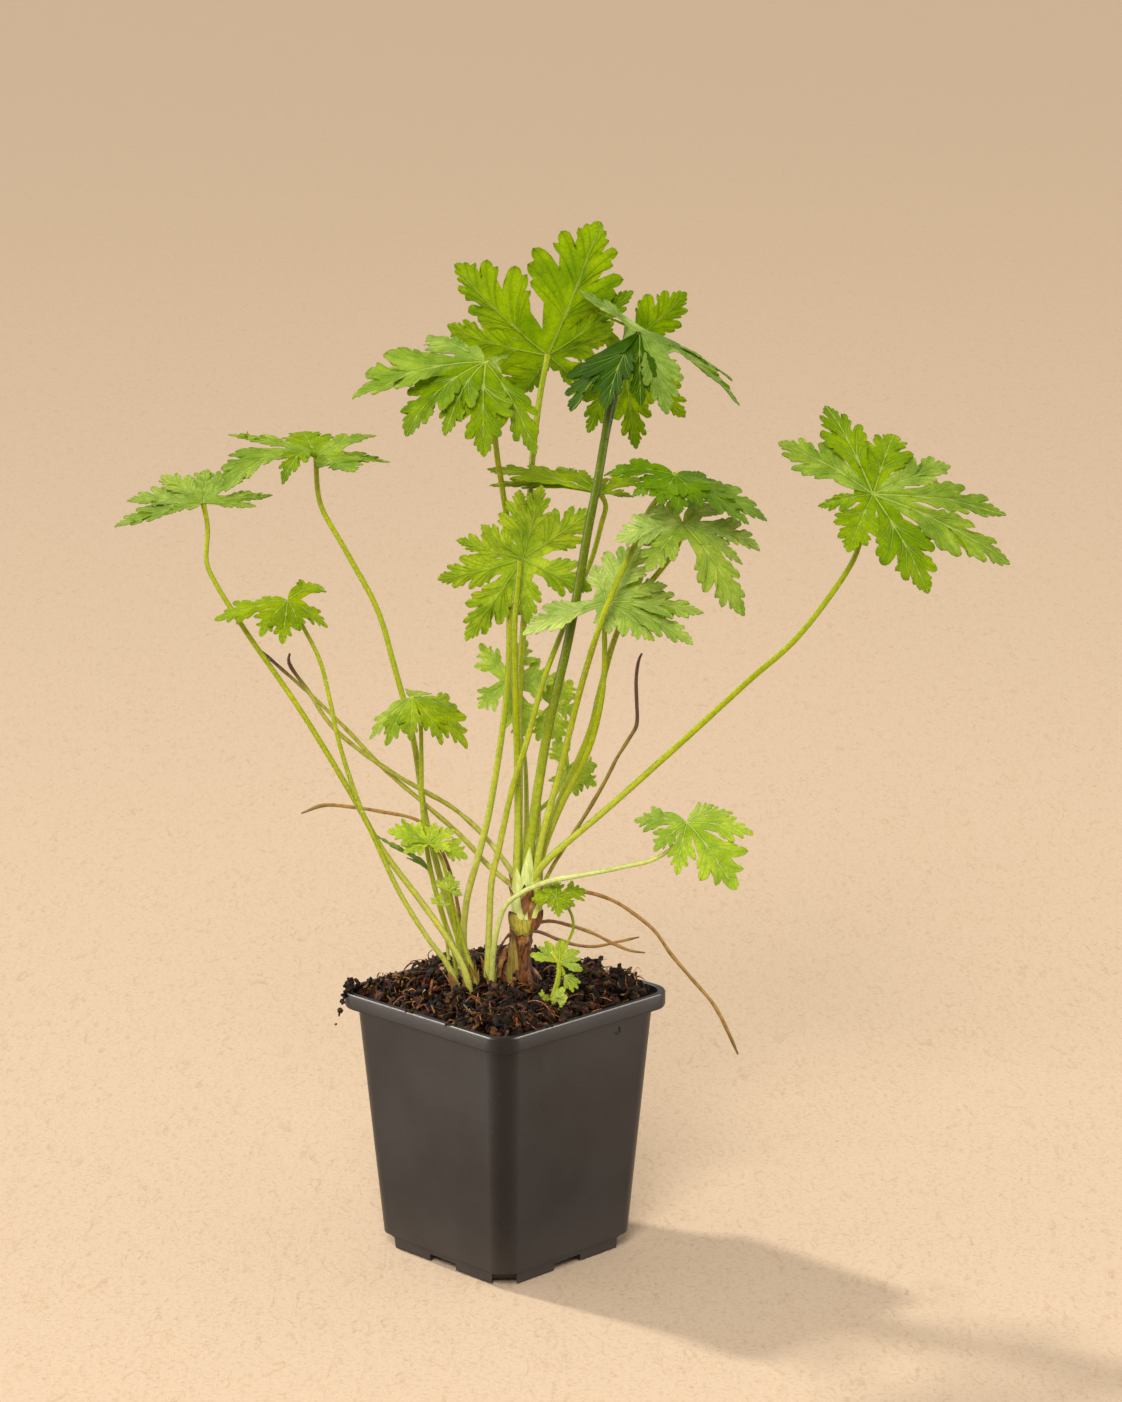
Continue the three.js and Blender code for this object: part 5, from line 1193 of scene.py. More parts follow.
def pot_finish():
    """Charcoal plastic: satin, finely grained, with fine pale dust, and paler towards its foot."""
    f = Finish("charcoal_plastic")
    cloud = f.speckle(26, 4, 0.55)
    body = f.mix(f.fit(cloud, 0.3, 0.75), rgb(12, 12, 15), rgb(18, 17, 20))
    specks = f.fit(f.speckle(1700, 2, 0.75), 0.67, 0.74)
    dust = f.maths("MULTIPLY", specks, f.fit(f.speckle(60, 3), 0.36, 0.62, 0.25, 1.0))
    body = f.mix(f.maths("MULTIPLY", dust, 0.4), body, rgb(120, 112, 104))
    body = f.mix(f.fit(f.speckle(2400, 2, 0.7), 0.35, 0.7, 0, 0.4), body, rgb(38, 35, 38))
    height = f.add("ShaderNodeSeparateXYZ")
    f.feed(height.inputs[0], f.place)
    low = f.fit(height.outputs["Z"], 0.0, 0.03, 0.12, 0.0)
    body = f.mix(low, body, rgb(104, 92, 80))
    f.set(Base_Color=body, Roughness=f.fit(cloud, 0.3, 0.7, 0.34, 0.42), Specular_IOR_Level=0.34)
    grain = f.maths("ADD", f.speckle(2600, 2, 0.6), f.maths("MULTIPLY", f.speckle(700, 3), 0.4))
    f.bump(grain, 0.3, 0.00016)
    return f.material


def plaster_finish():
    """Pale sandy plaster: fine grain and short scratches."""
    f = Finish("floor_plaster")
    fine = f.speckle(520, 4, 0.7)
    body = f.mix(f.fit(fine, 0.34, 0.5, 0.5, 0.0), *rgbs(FLOOR_PALE, FLOOR_WORN))
    scratch = f.speckle(210, 5, 0.7, (1, 0.35, 1), 1.6)
    body = f.tint(f.fit(scratch, 0.52, 0.7, 0, 0.5), body, rgb(226, 214, 198))
    f.set(Base_Color=body, Roughness=0.92, Specular_IOR_Level=0.15)
    f.bump(f.maths("ADD", fine, scratch), 0.5, 0.0005)
    return f.material


# ------------------------------------------------------------------ modelling steps

def take(thing):
    """Only this object selected and active."""
    bpy.ops.object.select_all(action="DESELECT")
    thing.select_set(True)
    bpy.context.view_layer.objects.active = thing


def settle(thing):
    """Puts an object's place into its mesh."""
    take(thing)
    bpy.ops.object.transform_apply(location=True, rotation=True, scale=True)


def finish_with(thing, kind, **settings):
    """Adds a modifier and applies it."""
    take(thing)
    step = thing.modifiers.new(kind.title(), kind)
    for name, value in settings.items():
        setattr(step, name, value)
    bpy.ops.object.modifier_apply(modifier=step.name)


def join_up(things, name):
    take(things[0])
    for thing in things:
        thing.select_set(True)
    bpy.ops.object.join()
    whole = bpy.context.object
    whole.name = whole.data.name = name
    return whole


def put(piece, slot, *nodes):
    """Rides on the plant in its pot and stands for the given solids. The slot is not used."""
    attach(piece, "root")
    if nodes:
        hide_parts(*nodes)
    return piece


# ------------------------------------------------------------------ the pot

def inner_width(z):
    """Width between the inner faces of the pot's body at this height."""
    share = (z - SKIRT_HEIGHT) / (POT_HEIGHT - RIM_BAND - SKIRT_HEIGHT)
    return BODY_FOOT_WIDTH + (BODY_TOP_WIDTH - BODY_FOOT_WIDTH) * share - 2 * POT_WALL


def pot_shell():
    """One skin drawn from the floor's underside round the foot, up the wall, over the lip and down inside."""
    recess = SKIRT_WIDTH - 2 * POT_WALL
    band = POT_HEIGHT - RIM_BAND
    mouth = RIM_WIDTH - 2 * RIM_WALL
    profile = [
        (0, recess), (0, SKIRT_WIDTH), (SKIRT_HEIGHT - 0.5, SKIRT_WIDTH + 0.6), (SKIRT_HEIGHT, BODY_FOOT_WIDTH),
        (band - 0.5, BODY_TOP_WIDTH), (band, RIM_WIDTH - 0.6), (band + 0.8, RIM_WIDTH), (POT_HEIGHT - 0.7, RIM_WIDTH),
        (POT_HEIGHT - 0.15, RIM_WIDTH - 0.5), (POT_HEIGHT, RIM_WIDTH - 1.4), (POT_HEIGHT, mouth + 0.6),
        (POT_HEIGHT - 0.4, mouth), (band + POT_WALL, mouth), (band + POT_WALL - 0.4, inner_width(band)),
        (SKIRT_HEIGHT + 2, inner_width(SKIRT_HEIGHT + 2)), (SKIRT_HEIGHT + 0.4, recess),
        (FLOOR_UNDERSIDE + FLOOR_THICKNESS, recess),
    ]
    bpy.ops.object.select_all(action="DESELECT")
    bpy.ops.mesh.primitive_plane_add(
        size=recess * MM, location=(0, 0, FLOOR_UNDERSIDE * MM), rotation=(0, 0, POT_TURN))
    pot = bpy.context.object
    bpy.ops.object.mode_set(mode="EDIT")
    bpy.ops.mesh.select_all(action="SELECT")
    bpy.ops.mesh.bevel(offset=(SKIRT_CORNER - POT_WALL) * MM, segments=9, profile=0.5, affect="VERTICES")
    height, reach = FLOOR_UNDERSIDE, recess
    for z, width in profile:
        bpy.ops.mesh.extrude_region_move(TRANSFORM_OT_translate={"value": (0, 0, (z - height) * MM)})
        if width != reach:
            bpy.ops.transform.resize(value=(width / reach, width / reach, 1), center_override=(0, 0, z * MM))
        height, reach = z, width
    bpy.ops.mesh.select_all(action="SELECT")
    bpy.ops.mesh.normals_make_consistent(inside=False)
    bpy.ops.object.mode_set(mode="OBJECT")
    settle(pot)
    return pot


def notch_cutter(width, height, depth, distance, turn):
    """A block that cuts an opening into the pot's foot."""
    bpy.ops.object.select_all(action="DESELECT")
    bpy.ops.mesh.primitive_cube_add(
        size=1, location=(distance * math.cos(turn) * MM, distance * math.sin(turn) * MM, 0), rotation=(0, 0, turn),
        scale=(depth * MM, width * MM, 2 * height * MM))
    cutter = bpy.context.object
    settle(cutter)
    return cutter


def mould_mark():
    """A small raised hook left by the mould on one side, just under the rim."""
    skin = Skin()
    middle = Vector(MOULD_MARK)
    line = []
    for i in range(9):
        angle = math.radians(-150 + 25 * i)
        across, up = 0.9 * math.cos(angle), 1.9 * math.sin(angle)
        line.append(middle + Vector((across, across, up)) * 0.8 + Vector((0.053, -0.053, 0)) * up)
    points, faces, _ = tube(line, [0.3] * len(line), 6)
    skin.add(points, faces)
    return skin.piece("mould_mark", [])


def nursery_pot():
    """The moulded shell with the openings at its foot, softened edges, and the mark of its mould."""
    pot = pot_shell()
    corner = SKIRT_WIDTH / 2 * math.sqrt(2) - SKIRT_CORNER * (math.sqrt(2) - 1)
    for side in range(4):
        for opening, distance, turn in (
            (SIDE_NOTCH, SKIRT_WIDTH / 2, POT_TURN + side * QUARTER),
            (CORNER_GAP, corner, side * QUARTER),
        ):
            cutter = notch_cutter(*opening, distance, turn)
            finish_with(pot, "BOOLEAN", operation="DIFFERENCE", solver="EXACT", object=cutter)
            bpy.data.objects.remove(cutter)
    finish_with(pot, "BEVEL", width=0.35 * MM, segments=2, limit_method="ANGLE", angle_limit=math.radians(28))
    take(pot)
    bpy.ops.object.shade_smooth_by_angle(angle=math.radians(32))
    finish_with(pot, "WEIGHTED_NORMAL", keep_sharp=True)
    pot = join_up([pot, mould_mark()], "pot_moulded")
    pot.data.materials.clear()
    pot.data.materials.append(pot_finish())
    return pot


# ------------------------------------------------------------------ the soil

def ring_point(width, corner, share):
    """Point on a rounded square of this width, one corner towards -Y, at this share of the way round."""
    quarter, inside = divmod(share * 4, 1)
    flat = width / 2 - corner
    start = quarter * QUARTER
    straight, arc = 2 * flat, corner * QUARTER
    run = inside * (straight + arc)
    if run < arc:
        angle = start + run / corner
        middle = start + QUARTER / 2
        x = flat * math.sqrt(2) * math.cos(middle) + corner * math.cos(angle)
        y = flat * math.sqrt(2) * math.sin(middle) + corner * math.sin(angle)
    else:
        middle, angle = start + QUARTER / 2, start + QUARTER
        back = run - arc
        x = flat * math.sqrt(2) * math.cos(middle) + corner * math.cos(angle) - back * math.sin(angle)
        y = flat * math.sqrt(2) * math.sin(middle) + corner * math.sin(angle) + back * math.cos(angle)
    c, s = math.cos(POT_TURN), math.sin(POT_TURN)
    return x * c - y * s, x * s + y * c


def ground(x, y):
    """Height of the bare soil: the mound with its slow unevenness and the clods heaped towards the back."""
    c = math.cos(POT_TURN)
    share = min(1, max(abs(x * c + y * c), abs(y * c - x * c)) / (SOIL_REACH / 2))
    uneven = math.sin(0.31 * x + 1.3) * math.cos(0.27 * y - 0.4) + 0.6 * math.sin(0.62 * x - 0.5 * y)
    heaped = sum(h * math.exp(-((x - hx) ** 2 + (y - hy) ** 2) / (r * r)) for hx, hy, r, h in SOIL_HEAPS)
    return SOIL_RIM_LEVEL + SOIL_CROWN * (1 - share**2) + (uneven + heaped) * (1 - share**6)


def rough(x, y):
    """Small clods and hollows on the soil."""
    p = Vector((x, y, 0))
    return 2.6 * noise.fractal(p / 9, 1.0, 2.1, 4) + 1.7 * noise.noise(p / 3.4) + 0.7 * noise.noise(p / 1.3) - 0.8


def height_share(x, y):
    """0 in the deepest hollows of the soil, 1 on top of its clods: it sets the painted shade of the soil finish,
    darkest at 0.
    """
    return min(1, max(0.02, (rough(x, y) + 2.4) / 4.2))


def soil_bed(finish):
    """The mound, with its clods and hollows, closed down inside the pot."""
    # raised holds each point's height share, for the painted shade of the soil finish.
    points, faces, raised = [], [], []
    for low in SOIL_DEPTHS:
        for k in range(SOIL_ROUND):
            x, y = ring_point(inner_width(low) - 0.8, SOIL_CORNER, k / SOIL_ROUND)
            points.append(Vector((x, y, low)))
            raised.append(0.2)
    for ring in range(SOIL_RINGS):
        share = 1 - ring / SOIL_RINGS
        for k in range(SOIL_ROUND):
            x, y = ring_point(SOIL_REACH, SOIL_CORNER, k / SOIL_ROUND)
            x, y = x * share, y * share
            lift = rough(x, y) * min(1, 0.35 + 6 * (1 - share))
            points.append(Vector((x, y, ground(x, y) + lift - (1.2 if ring == 0 else 0))))
            raised.append(height_share(x, y))
    points.append(Vector((0, 0, ground(0, 0))))
    points.append(Vector((0, 0, SOIL_DEPTHS[0])))
    raised += [0.5, 0.2]
    for r in range(SOIL_RINGS + 1):
        for k in range(SOIL_ROUND):
            a, b = r * SOIL_ROUND + k, r * SOIL_ROUND + (k + 1) % SOIL_ROUND
            faces.append((a, b, b + SOIL_ROUND, a + SOIL_ROUND))
    last = (SOIL_RINGS + 1) * SOIL_ROUND
    for k in range(SOIL_ROUND):
        faces.append((last + k, last + (k + 1) % SOIL_ROUND, len(points) - 2))
        faces.append(((k + 1) % SOIL_ROUND, k, len(points) - 1))
    skin = Skin()
    skin.add(points, faces, along=raised)
    return skin.piece("soil_bed", [finish], sharp=80)


def ball_template(segments, bands):
    """Points and faces of a ball of radius 1."""
    mesh = bmesh.new()
    bmesh.ops.create_uvsphere(mesh, u_segments=segments, v_segments=bands, radius=1)
    spot = np.array([v.co[:] for v in mesh.verts])
    faces = [tuple(v.index for v in f.verts) for f in mesh.faces]
    mesh.free()
    return spot, faces


def turned(a, b, c):
    """Turn about Z, then Y, then X, for rows of points."""
    return np.array(Matrix.Rotation(a, 3, "X") @ Matrix.Rotation(b, 3, "Y") @ Matrix.Rotation(c, 3, "Z")).T


def crumb(template, size, stretch, dice):
    """One lump: a ball dented by noise, stretched and turned."""
    spot, faces = template
    seed = Vector((dice.uniform(0, 90), dice.uniform(0, 90), dice.uniform(0, 90)))
    dents = [1 + 0.55 * noise.noise(Vector(p) * 1.4 + seed) + 0.25 * noise.noise(Vector(p) * 3 + seed) for p in spot]
    shaped = spot * np.array(dents)[:, None] * size * np.array(stretch)
    return shaped @ turned(*(dice.uniform(0, 2 * math.pi) for _ in range(3))), faces


def scattered(dice, reach):
    """A spot on the soil, even over the rounded square of this width."""
    x, y = ring_point(reach, SCATTER_CORNER, dice.random())
    s = math.sqrt(dice.random())
    return x * s, y * s


def soil_crumbs(finishes):
    """Clods of small jagged lumps over the whole mound, and a spill over the left corner of the rim."""
    dice = random.Random(SOIL_SEED)
    small, large = ball_template(7, 4), ball_template(8, 5)
    skin = Skin()

    def lay(size, x, y, z, template, finish):
        stretch = (dice.uniform(0.8, 1.7), dice.uniform(0.6, 1), dice.uniform(0.5, 0.9))
        spot, faces = crumb(template, size, stretch, dice)
        skin.add([Vector((p[0] + x, p[1] + y, p[2] + z)) for p in spot], faces, finish, along=height_share(x, y))

    for _ in range(CLODS):
        reach = dice.uniform(1.4, 5.2)
        x, y = scattered(dice, SOIL_REACH - 2 * reach)
        top = ground(x, y) + rough(x, y)
        shade = dice.choice((0, 0, 1, 1, 2))
        for _ in range(int(3 + reach * 2.2)):
            size = dice.uniform(0.5, 1.5)
            dx, dy, dz = (dice.gauss(0, 0.42) * reach for _ in range(3))
            lay(size, x + dx, y + dy, top + 0.3 + abs(dz) * 0.75, small, shade if dice.random() < 0.7 else 0)
    for count, low, high, template in ((FINE_CRUMBS, 0.4, 1.0, small), (COARSE_CRUMBS, 1.0, 2.4, large)):
        for _ in range(count):
            size = dice.uniform(low, high)
            x, y = scattered(dice, SOIL_REACH - 2.4 * size)
            top = ground(x, y) + rough(x, y) + size * dice.uniform(0.1, 0.8)
            lay(size, x, y, top, template, dice.choice((0, 0, 1, 1, 2)))
    for _ in range(SPILLED_CRUMBS):
        x, y = SPILL_X + dice.gauss(0, 1.7), dice.gauss(-0.5, 3.4)
        hang = max(0, SPILL_X - 0.4 - x) * 3.4
        lay(dice.uniform(0.4, 1.2), x, y, 100.9 + dice.uniform(0, 1.7) - hang, small, dice.choice((0, 1, 1)))
    for x, y in RIM_CRUMBS:
        for _ in range(4):
            lay(dice.uniform(0.3, 0.8), x + dice.gauss(0, 0.9), y + dice.gauss(0, 0.6), 100.4, small, 1)
    return skin.piece("soil_crumbs", finishes, sharp=34)


def soil_strand(dice, length, thick, lift, sides, rows):
    """One strand of bark or root lying on the soil: curled, and uneven in thickness."""
    x, y = scattered(dice, SOIL_REACH - 9)
    angle, bend, lean = dice.uniform(0, 2 * math.pi), dice.gauss(0, 1.3), dice.gauss(0, 0.35)
    line, limit = [], SOIL_REACH / 2 - 1.5
    px, py = x, y
    for i in range(rows):
        s = i / (rows - 1)
        angle += bend / rows + dice.gauss(0, 0.25)
        px += math.cos(angle) * length / rows
        py += math.sin(angle) * length / rows
        spread = (abs(px) + abs(py)) / math.sqrt(2)
        if spread > limit:
            px, py = px * limit / spread, py * limit / spread
        arch = lift * math.sin(math.pi * s) + lean * length * (s - 0.5)
        resting = ground(px, py) + rough(px, py) + 0.3 * thick
        line.append(Vector((px, py, max(resting, ground(x, y) + rough(x, y) + thick + arch))))
    full = [0.35 + 0.65 * math.sin(math.pi * (i + 0.7) / (rows + 0.4)) for i in range(rows)]
    radii = [thick * share * dice.uniform(0.7, 1.25) for share in full]
    return tube(line, radii, sides)[:2]


def soil_fibres(finishes):
    """Curled strands of bark, dark and thick, and thin pale rootlets among them."""
    dice = random.Random(SOIL_SEED + 1)
    skin = Skin()
    for _ in range(BARK_STRANDS):
        points, faces = soil_strand(dice, dice.uniform(3, 9), dice.uniform(0.3, 0.85), dice.uniform(0.2, 2.2), 5, 7)
        skin.add(points, faces, dice.choice((0, 0, 1, 1, 1, 2)), along=height_share(points[0].x, points[0].y))
    for _ in range(ROOTLETS):
        points, faces = soil_strand(dice, dice.uniform(4, 14), dice.uniform(0.1, 0.26), dice.uniform(0.2, 2.6), 4, 8)
        skin.add(points, faces, dice.choice((1, 2, 3, 3)), along=0.9)
    return skin.piece("soil_fibres", finishes, sharp=70)


def bark_chips(finishes):
    """Flat splinters of bark lying at odd angles."""
    dice = random.Random(SOIL_SEED + 2)
    template = ball_template(8, 5)
    skin = Skin()
    for _ in range(BARK_CHIPS):
        x, y = scattered(dice, SOIL_REACH - 8)
        length = dice.uniform(1.4, 3.6)
        spot = template[0].copy()
        spot = np.sign(spot) * np.abs(spot) ** 0.55
        spot *= np.array([length, length * dice.uniform(0.2, 0.5), dice.uniform(0.2, 0.5)])
        spot += np.array([[dice.uniform(-0.18, 0.18) for _ in range(3)] for _ in spot])
        about_z = Matrix.Rotation(dice.uniform(0, 2 * math.pi), 3, "Z")
        tip = about_z @ Matrix.Rotation(dice.gauss(0, 0.6), 3, "Y") @ Matrix.Rotation(dice.gauss(0, 0.5), 3, "X")
        spot = spot @ np.array(tip).T + np.array([x, y, ground(x, y) + rough(x, y) + 0.9])
        skin.add([Vector(p) for p in spot], template[1], 0 if dice.random() < 0.93 else 1, along=0.8)
    return skin.piece("bark_chips", finishes, sharp=40)


# ------------------------------------------------------------------ scales, sheaths and roots

def add_scale(skin, base, tip, width, outward, curl, finish, rows=8):
    """A thin pointed scale, cupped round the stalk that it stands against, dry along its rim."""
    base, tip, outward = Vector(base), Vector(tip), Vector(outward).normalized()
    along = tip - base
    length = along.length
    side = along.normalized().cross(outward).normalized()
    face = side.cross(along.normalized())
    points, shares, rims = [], [], []
    columns = 6
    for shell in (0.5, -0.5):
        for r in range(rows + 1):
            s = r / rows
            half = width / 2 * max(0.05, math.sin(math.pi * min(1, 0.22 + 0.78 * s)) ** 0.8)
            for k in range(columns + 1):
                c = 2 * k / columns - 1
                bend = outward * (curl * length * s * s) - outward * (0.45 * half * c * c)
                points.append(base + along * s + side * (c * half) + bend + face * (0.2 * shell))
                shares.append(s)
                rims.append(max(abs(c) * min(1, 2 * s), s) ** 2)
    faces, across = [], columns + 1
    layer = (rows + 1) * across
    for r in range(rows):
        for k in range(columns):
            a = r * across + k
            quad = (a, a + 1, a + across + 1, a + across)
            faces.append(quad[::-1])
            faces.append(tuple(i + layer for i in quad))
    rim = list(range(across)) + [r * across + columns for r in range(1, rows + 1)]
    rim += [rows * across + k for k in range(columns - 1, -1, -1)] + [r * across for r in range(rows - 1, 0, -1)]
    for a, b in zip(rim, rim[1:] + rim[:1]):
        faces.append((a, b, b + layer, a + layer))
    skin.add(points, faces, finish, along=shares, margin=rims)


def stalk_foot(points, height):
    """The lowest stretch of a stalk, from its seat upwards."""
    line = smooth_line(points, 2.0)[::-1]
    return [p for p in line if (p - line[0]).length <= height]


def crown(finish):
    """The stalk bases swollen and grown into each other above the rootstock."""
    skin = Skin()
    stalks = [leaf["stalk"] for leaf in CROWN_LEAVES.values()] + [SHOOT_UPPER_RIGHT["stem"], INNER_SPRAY["stem"]]
    axis_x, axis_y = CROWN_AXIS
    for points in stalks:
        foot = stalk_foot(points, 11)
        middle = Vector((axis_x - 0.8, axis_y - 0.4, CROWN_FOOT))
        start = middle.lerp(Vector((foot[0].x, foot[0].y, CROWN_FOOT)), 0.42)
        line = smooth_line([start, foot[0] * 0.6 + start * 0.4, *foot[1::2]], 1.2)
        last = len(line) - 1
        radii = [2.2 - 0.85 * min(1, i / last * 1.3) for i in range(last + 1)]
        tube_points, faces, _ = tube(line, radii, 10)
        skin.add(tube_points, faces)
    spot, faces = ball_template(24, 16)
    core = spot * np.array([3.4, 3.6, 3.4]) + np.array([axis_x - 0.6, axis_y - 0.4, CROWN_FOOT + 1])
    skin.add([Vector(p) for p in core], faces)
    body = skin.piece("crown_grown", [finish], sharp=180)
    finish_with(body, "REMESH", mode="VOXEL", voxel_size=0.45 * MM, use_smooth_shade=True)
    finish_with(body, "SMOOTH", factor=0.5, iterations=2)
    spot = np.array([v.co[:] for v in body.data.vertices])
    wrinkle = np.array([noise.noise(Vector((p[0] * 900, p[1] * 900, p[2] * 150))) for p in spot])
    spot += from_axis(spot, axis_x * MM, axis_y * MM) * (0.0002 * wrinkle)[:, None]
    body.data.vertices.foreach_set("co", spot.astype(np.float32).ravel())
    set_heights(body, CROWN_FOOT, 148)
    return body


def from_axis(spot, x, y):
    """Level directions that point away from an upright axis."""
    away = spot - np.array([x, y, 0])
    away[:, 2] = 0
    return away / np.maximum(np.linalg.norm(away, axis=1), 1e-6)[:, None]


def set_heights(thing, low, high):
    """Each point's share of the way from low to high, for a finish that changes with height."""
    mesh = thing.data
    z = np.array([v.co.z for v in mesh.vertices]) / MM
    layer = mesh.attributes.get("along") or mesh.attributes.new("along", "FLOAT", "POINT")
    layer.data.foreach_set("value", np.clip((z - low) / (high - low), 0, 1).astype(np.float32))


def rootstock(finish):
    """The woody column with its bark and bare roots that run down into the soil."""
    skin = Skin()
    x, y, radius = ROOTSTOCK["x"], ROOTSTOCK["y"], ROOTSTOCK["radius"]
    column = [(x - 1.6, y, 94), (x - 1.5, y, 104), (x - 0.9, y, 114), (x + 0.2, y, 127.5), (x + 0.6, y, 131)]
    line = smooth_line(column, 1.6)
    radii = [radius * (1.12 - 0.14 * math.sin(math.pi * i / (len(line) - 1))) for i in range(len(line))]
    points, faces, _ = tube(line, radii, 16)
    skin.add(points, faces)
    for route, thick in BARE_ROOTS:
        line = smooth_line(route, 1.2)
        points, faces, _ = tube(line, [thick * (1.15 - 0.35 * i / len(line)) for i in range(len(line))], 8)
        skin.add(points, faces)
    body = skin.piece("rootstock_bark", [finish], sharp=180)
    finish_with(body, "REMESH", mode="VOXEL", voxel_size=0.5 * MM, use_smooth_shade=True)
    spot = np.array([v.co[:] for v in body.data.vertices]) / MM
    bark = np.array([noise.fractal(Vector((p[0] / 1.6, p[1] / 1.6, p[2] / 6)), 1.0, 2.1, 4) for p in spot])
    near = np.clip(1.6 - np.linalg.norm((spot - np.array([x, y, 0]))[:, :2], axis=1) / 6, 0.25, 1)
    spot += from_axis(spot, x, y) * (1.1 * bark * near)[:, None]
    body.data.vertices.foreach_set("co", (spot * MM).astype(np.float32).ravel())
    return body


def base_scales(finishes):
    """Dry and green scales: round the crown, up the rootstock, and at the feet of the left clump."""
    dice = random.Random(PLANT_SEED)
    skin = Skin()
    for i in range(9):
        angle = i * 2.4 + 0.4
        out = Vector((math.cos(angle), math.sin(angle), 0))
        base = Vector((CROWN_AXIS[0] + 4.6 * out.x, CROWN_AXIS[1] + 6.4 * out.y, dice.uniform(129, 136)))
        tip = base + out * dice.uniform(0.8, 2.4) + Vector((0, 0, dice.uniform(8, 13)))
        width, curl = dice.uniform(3.5, 5.5), dice.uniform(0.02, 0.16)
        add_scale(skin, base, tip, width, out, curl, dice.choice((GREEN, GREEN, DRY)))
    for scale in FRONT_SCALES:
        add_scale(skin, *scale)
    for leaf in CLUMP_LEAVES.values():
        foot = Vector(leaf["stalk"][-1])
        up = (Vector(leaf["stalk"][-2]) - foot).normalized()
        level = ground(foot.x, foot.y)
        start = foot + up * ((level - 1.5 - foot.z) / max(up.z, 0.3))
        for _ in range(2):
            angle = dice.uniform(0, 2 * math.pi)
            out = Vector((math.cos(angle), math.sin(angle), 0.1))
            height = dice.uniform(6, 11)
            tip = start + up * height + out * dice.uniform(1.4, 2.4)
            width, curl = dice.uniform(1.8, 2.8), dice.uniform(0.0, 0.2)
            add_scale(skin, start + out * 1.2, tip, width, out, curl, dice.choice((GREEN, DRY, BROWN)))
    return skin.piece("base_scales", finishes)


def dead_stalk(name, entry, finish):
    """A withered stalk: shrunken and wrinkled, with a pinched tip."""
    line = smooth_line(entry["route"], 1.8)
    at_tip, at_foot = entry["radius"]
    radii = []
    for i, p in enumerate(line):
        pinch = 1 - 0.45 * math.exp(-((i / 1.6) ** 2))
        r = at_tip + (at_foot - at_tip) * (i / (len(line) - 1))
        radii.append(r * pinch * (0.92 + 0.22 * noise.noise(p / 5)))
    points, faces, shares = tube(line, radii, 8)
    skin = Skin()
    skin.add(points, faces, along=[1 - s for s in shares])
    return skin.piece(name, [finish])


# ------------------------------------------------------------------ leaves and stalks

def whole_leaf(name, leaf, seed, blade_finish, stalk_material, down):
    """Blade and stalk of one leaf, standing for its node."""
    skin = Skin()
    add_blade(skin, leaf, seed)
    sides, step = (8, 2.0) if leaf.get("small") else (10, 2.4)
    foot, reach = (1.75, 15) if name in CLUMP_LEAVES else (1.5, 20)
    add_stalk(skin, leaf["stalk"], leaf["radius"], sides=sides, step=step, foot=foot, reach=reach, down=down)
    return put(skin.piece(name + "_fine", [blade_finish, stalk_material]), "leaf", name)


def shoot(entry, seed, front_finish, stalk_material, rear_finish, down):
    """The thick stem that forks and carries two blades."""
    skin = Skin()
    add_blade(skin, entry["front"], seed)
    add_blade(skin, entry["rear"], seed + 1, 2)
    add_stalk(skin, entry["stem"], entry["stemRadius"], sides=14, step=2.2, reach=20, down=down)
    add_stalk(skin, entry["branch"], entry["branchRadius"], foot=1.1, past=1, paling=0.1, down=down)
    return put(skin.piece("shoot_fine", [front_finish, stalk_material, rear_finish]), "leaf", "shoot_upper_right")


def spray(entry, seed, blade_finish, stalk_material, down):
    """Two small blades on one stem, behind the stalks."""
    skin = Skin()
    add_blade(skin, entry["upper"], seed)
    add_blade(skin, entry["lower"], seed + 1)
    add_stalk(skin, entry["stem"], entry["stemRadius"], sides=8, step=2, down=down)
    add_stalk(skin, entry["branch"], entry["branchRadius"], foot=1.0, sides=8, step=2, past=1, paling=0.4, down=down)
    return put(skin.piece("spray_fine", [blade_finish, stalk_material]), "leaf", "spray_inner")


def leaf_scraps(finishes):
    """Tiny young leaves among the stalk feet and beside the seedling."""
    skin = Skin()
    for k, scrap in enumerate(LEAF_SCRAPS):
        add_blade(skin, {"arch": SCRAP_ARCH, **scrap}, PLANT_SEED + 300 + k)
        hub, foot = Vector(scrap["hub"]), Vector(scrap["foot"])
        middle = hub.lerp(foot, 0.5) + Vector((0.3, 0.4, 0))
        add_stalk(skin, [hub + Vector((0, 0.2, 0)), middle, foot], [0.5, 0.55], sides=6, step=1.5)
    return skin.piece("young_leaf_scraps", finishes)


# ------------------------------------------------------------------ floor, lights and camera

def floor():
    bpy.ops.object.select_all(action="DESELECT")
    bpy.ops.mesh.primitive_circle_add(
        vertices=96, radius=FLOOR_RADIUS, fill_type="NGON", location=(0, 0, -FLOOR_DROP))
    ground_plane = bpy.context.object
    ground_plane.name = ground_plane.data.name = "floor"
    settle(ground_plane)
    ground_plane.data.materials.append(plaster_finish())


def light(name, kind, place, target, strength, colour):
    """A light at a place, turned towards a target."""
    data = bpy.data.lights.new(name, kind)
    data.energy, data.color = strength, colour
    lamp = bpy.data.objects.new(name, data)
    bpy.context.scene.collection.objects.link(lamp)
    lamp.location = place
    lamp.rotation_euler = (Vector(target) - Vector(place)).to_track_quat("-Z", "Y").to_euler()
    return lamp


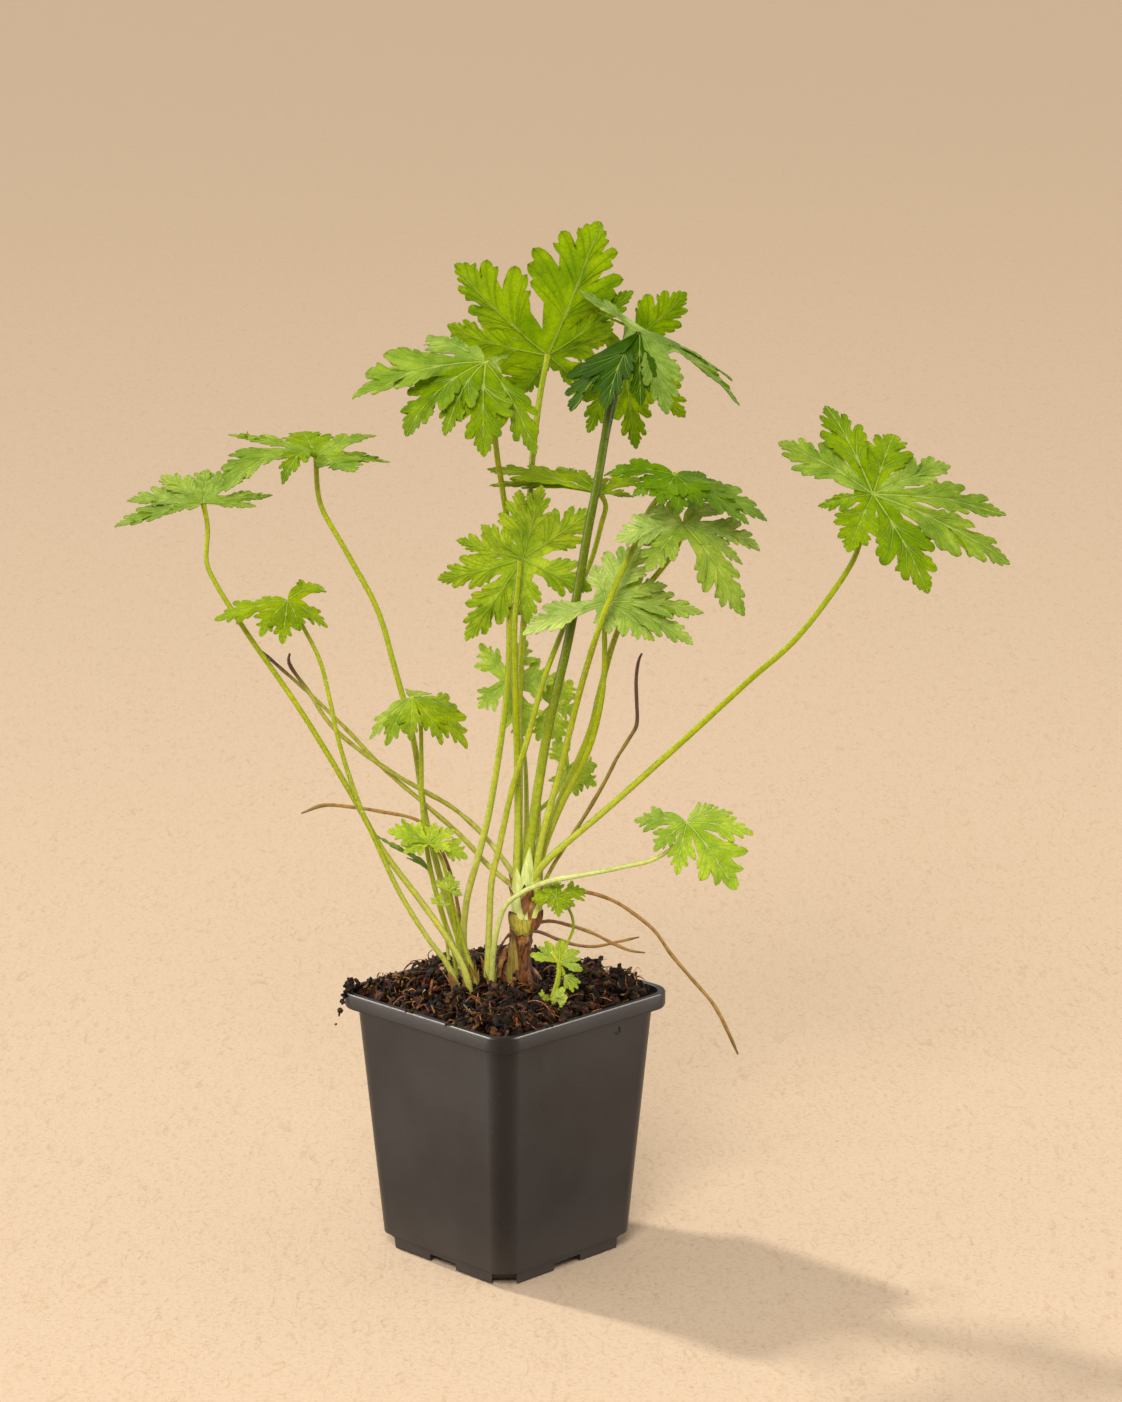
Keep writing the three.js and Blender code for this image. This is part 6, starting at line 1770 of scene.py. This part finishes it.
def lights():
    sun = light("warm_key", "SUN", SUN["place"], (0, 0, 0), SUN["strength"], SUN["colour"])
    sun.data.angle = SUN["spread"]
    x, y, z = BOX_PLACE
    for name, side, watts in (("left_box", -1, LEFT_BOX_WATTS), ("right_box", 1, RIGHT_BOX_WATTS)):
        box = light(name, "AREA", (side * x, y, z), BOX_TARGET, watts, BOX_COLOUR)
        box.data.shape, box.data.size = "SQUARE", BOX_SIZE
        box.visible_diffuse = False
    fill = light("front_fill", "AREA", FILL_PLACE, FILL_TARGET, FILL_WATTS, FILL_COLOUR)
    fill.data.shape, fill.data.size = "DISK", FILL_SIZE
    fill.visible_glossy = False
    world = bpy.data.worlds.new("studio_air")
    world.use_nodes = True
    air = world.node_tree.nodes["Background"]
    air.inputs["Color"].default_value = AIR_COLOUR
    air.inputs["Strength"].default_value = AIR_STRENGTH
    scene = bpy.context.scene
    scene.world = world
    scene.view_settings.view_transform = "Standard"
    scene.view_settings.look = "None"


def camera():
    data = bpy.data.cameras.new("camera")
    data.sensor_fit, data.sensor_width, data.lens = "AUTO", CAMERA_SENSOR, CAMERA_LENS
    data.clip_start, data.clip_end = CAMERA_CLIP
    eye = bpy.data.objects.new("camera", data)
    eye.location = CAMERA_PLACE
    eye.rotation_euler = (CAMERA_PITCH, 0, 0)
    bpy.context.scene.collection.objects.link(eye)
    bpy.context.scene.camera = eye


# ------------------------------------------------------------------ the whole plant in its pot

def plant():
    blades = {name: leaf_finish("leaf_" + name, *given) for name, given in BLADE_COLOURS.items()}
    stalks = {name: stalk_finish(name, *given) for name, given in STALK_COLOURS.items()}
    green = stalks["stalk_green"]

    down = Skin()
    seed = PLANT_SEED
    for group, usual in ((CROWN_LEAVES, green), (CLUMP_LEAVES, stalks["stalk_clump"]), (SEEDLING_LEAVES, green)):
        for name, leaf in group.items():
            seed += 1
            stalk_material = stalks["stalk_pale"] if leaf.get("pale_stalk") else usual
            whole_leaf(name, leaf, seed, blades[leaf["finish"]], stalk_material, down)
    shoot(SHOOT_UPPER_RIGHT, seed + 2, blades["deep"], stalks["stalk_stout_shaded"], blades["fresh"], down)
    spray(INNER_SPRAY, seed + 4, blades[INNER_SPRAY["finish"]], green, down)
    put(down.piece("stalk_down", [down_finish()]), "leaf")
    put(leaf_scraps([blades["young"], green]), "leaf")

    woody = {name: woody_finish(name, *given) for name, given in WOODY_COLOURS.items()}
    put(crown(woody["sheath_green"]), "sheath", "crown_sheath")
    put(rootstock(woody["rootstock_bark"]), "woody_base", "rootstock")
    scales = ("collar_olive", "scale_dry", "scale_brown", "husk_olive", "sheath_green")
    put(base_scales([woody[name] for name in scales]), "woody_base")

    dead = {name: along_finish("dry_" + name, *given) for name, given in DRY_COLOURS.items()}
    for name, entry in DRY_STALKS.items():
        piece = dead_stalk(name + "_fine", entry, dead[entry["finish"]])
        put(piece, "dry_stalk" if entry["finish"] == "straw" else "brown_stalk", name)


def pot_and_soil():
    put(nursery_pot(), "pot_plastic", "nursery_pot")
    peat, humus, bark, fibre, grit = (soil_finish(name, *given) for name, given in SOIL_COLOURS.items())
    put(soil_bed(peat), "soil", "potting_soil")
    put(soil_crumbs([peat, humus, bark]), "soil")
    put(soil_fibres([peat, humus, bark, fibre]), "soil")
    put(bark_chips([bark, grit]), "soil")


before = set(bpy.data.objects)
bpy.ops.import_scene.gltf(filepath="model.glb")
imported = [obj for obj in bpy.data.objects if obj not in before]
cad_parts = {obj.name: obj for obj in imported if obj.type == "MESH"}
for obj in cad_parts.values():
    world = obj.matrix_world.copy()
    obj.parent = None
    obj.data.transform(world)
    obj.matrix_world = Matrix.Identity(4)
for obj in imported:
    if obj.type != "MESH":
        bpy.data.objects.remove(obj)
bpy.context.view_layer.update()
bpy.ops.object.select_all(action="DESELECT")
camera()
lights()
floor()
pot_and_soil()
plant()
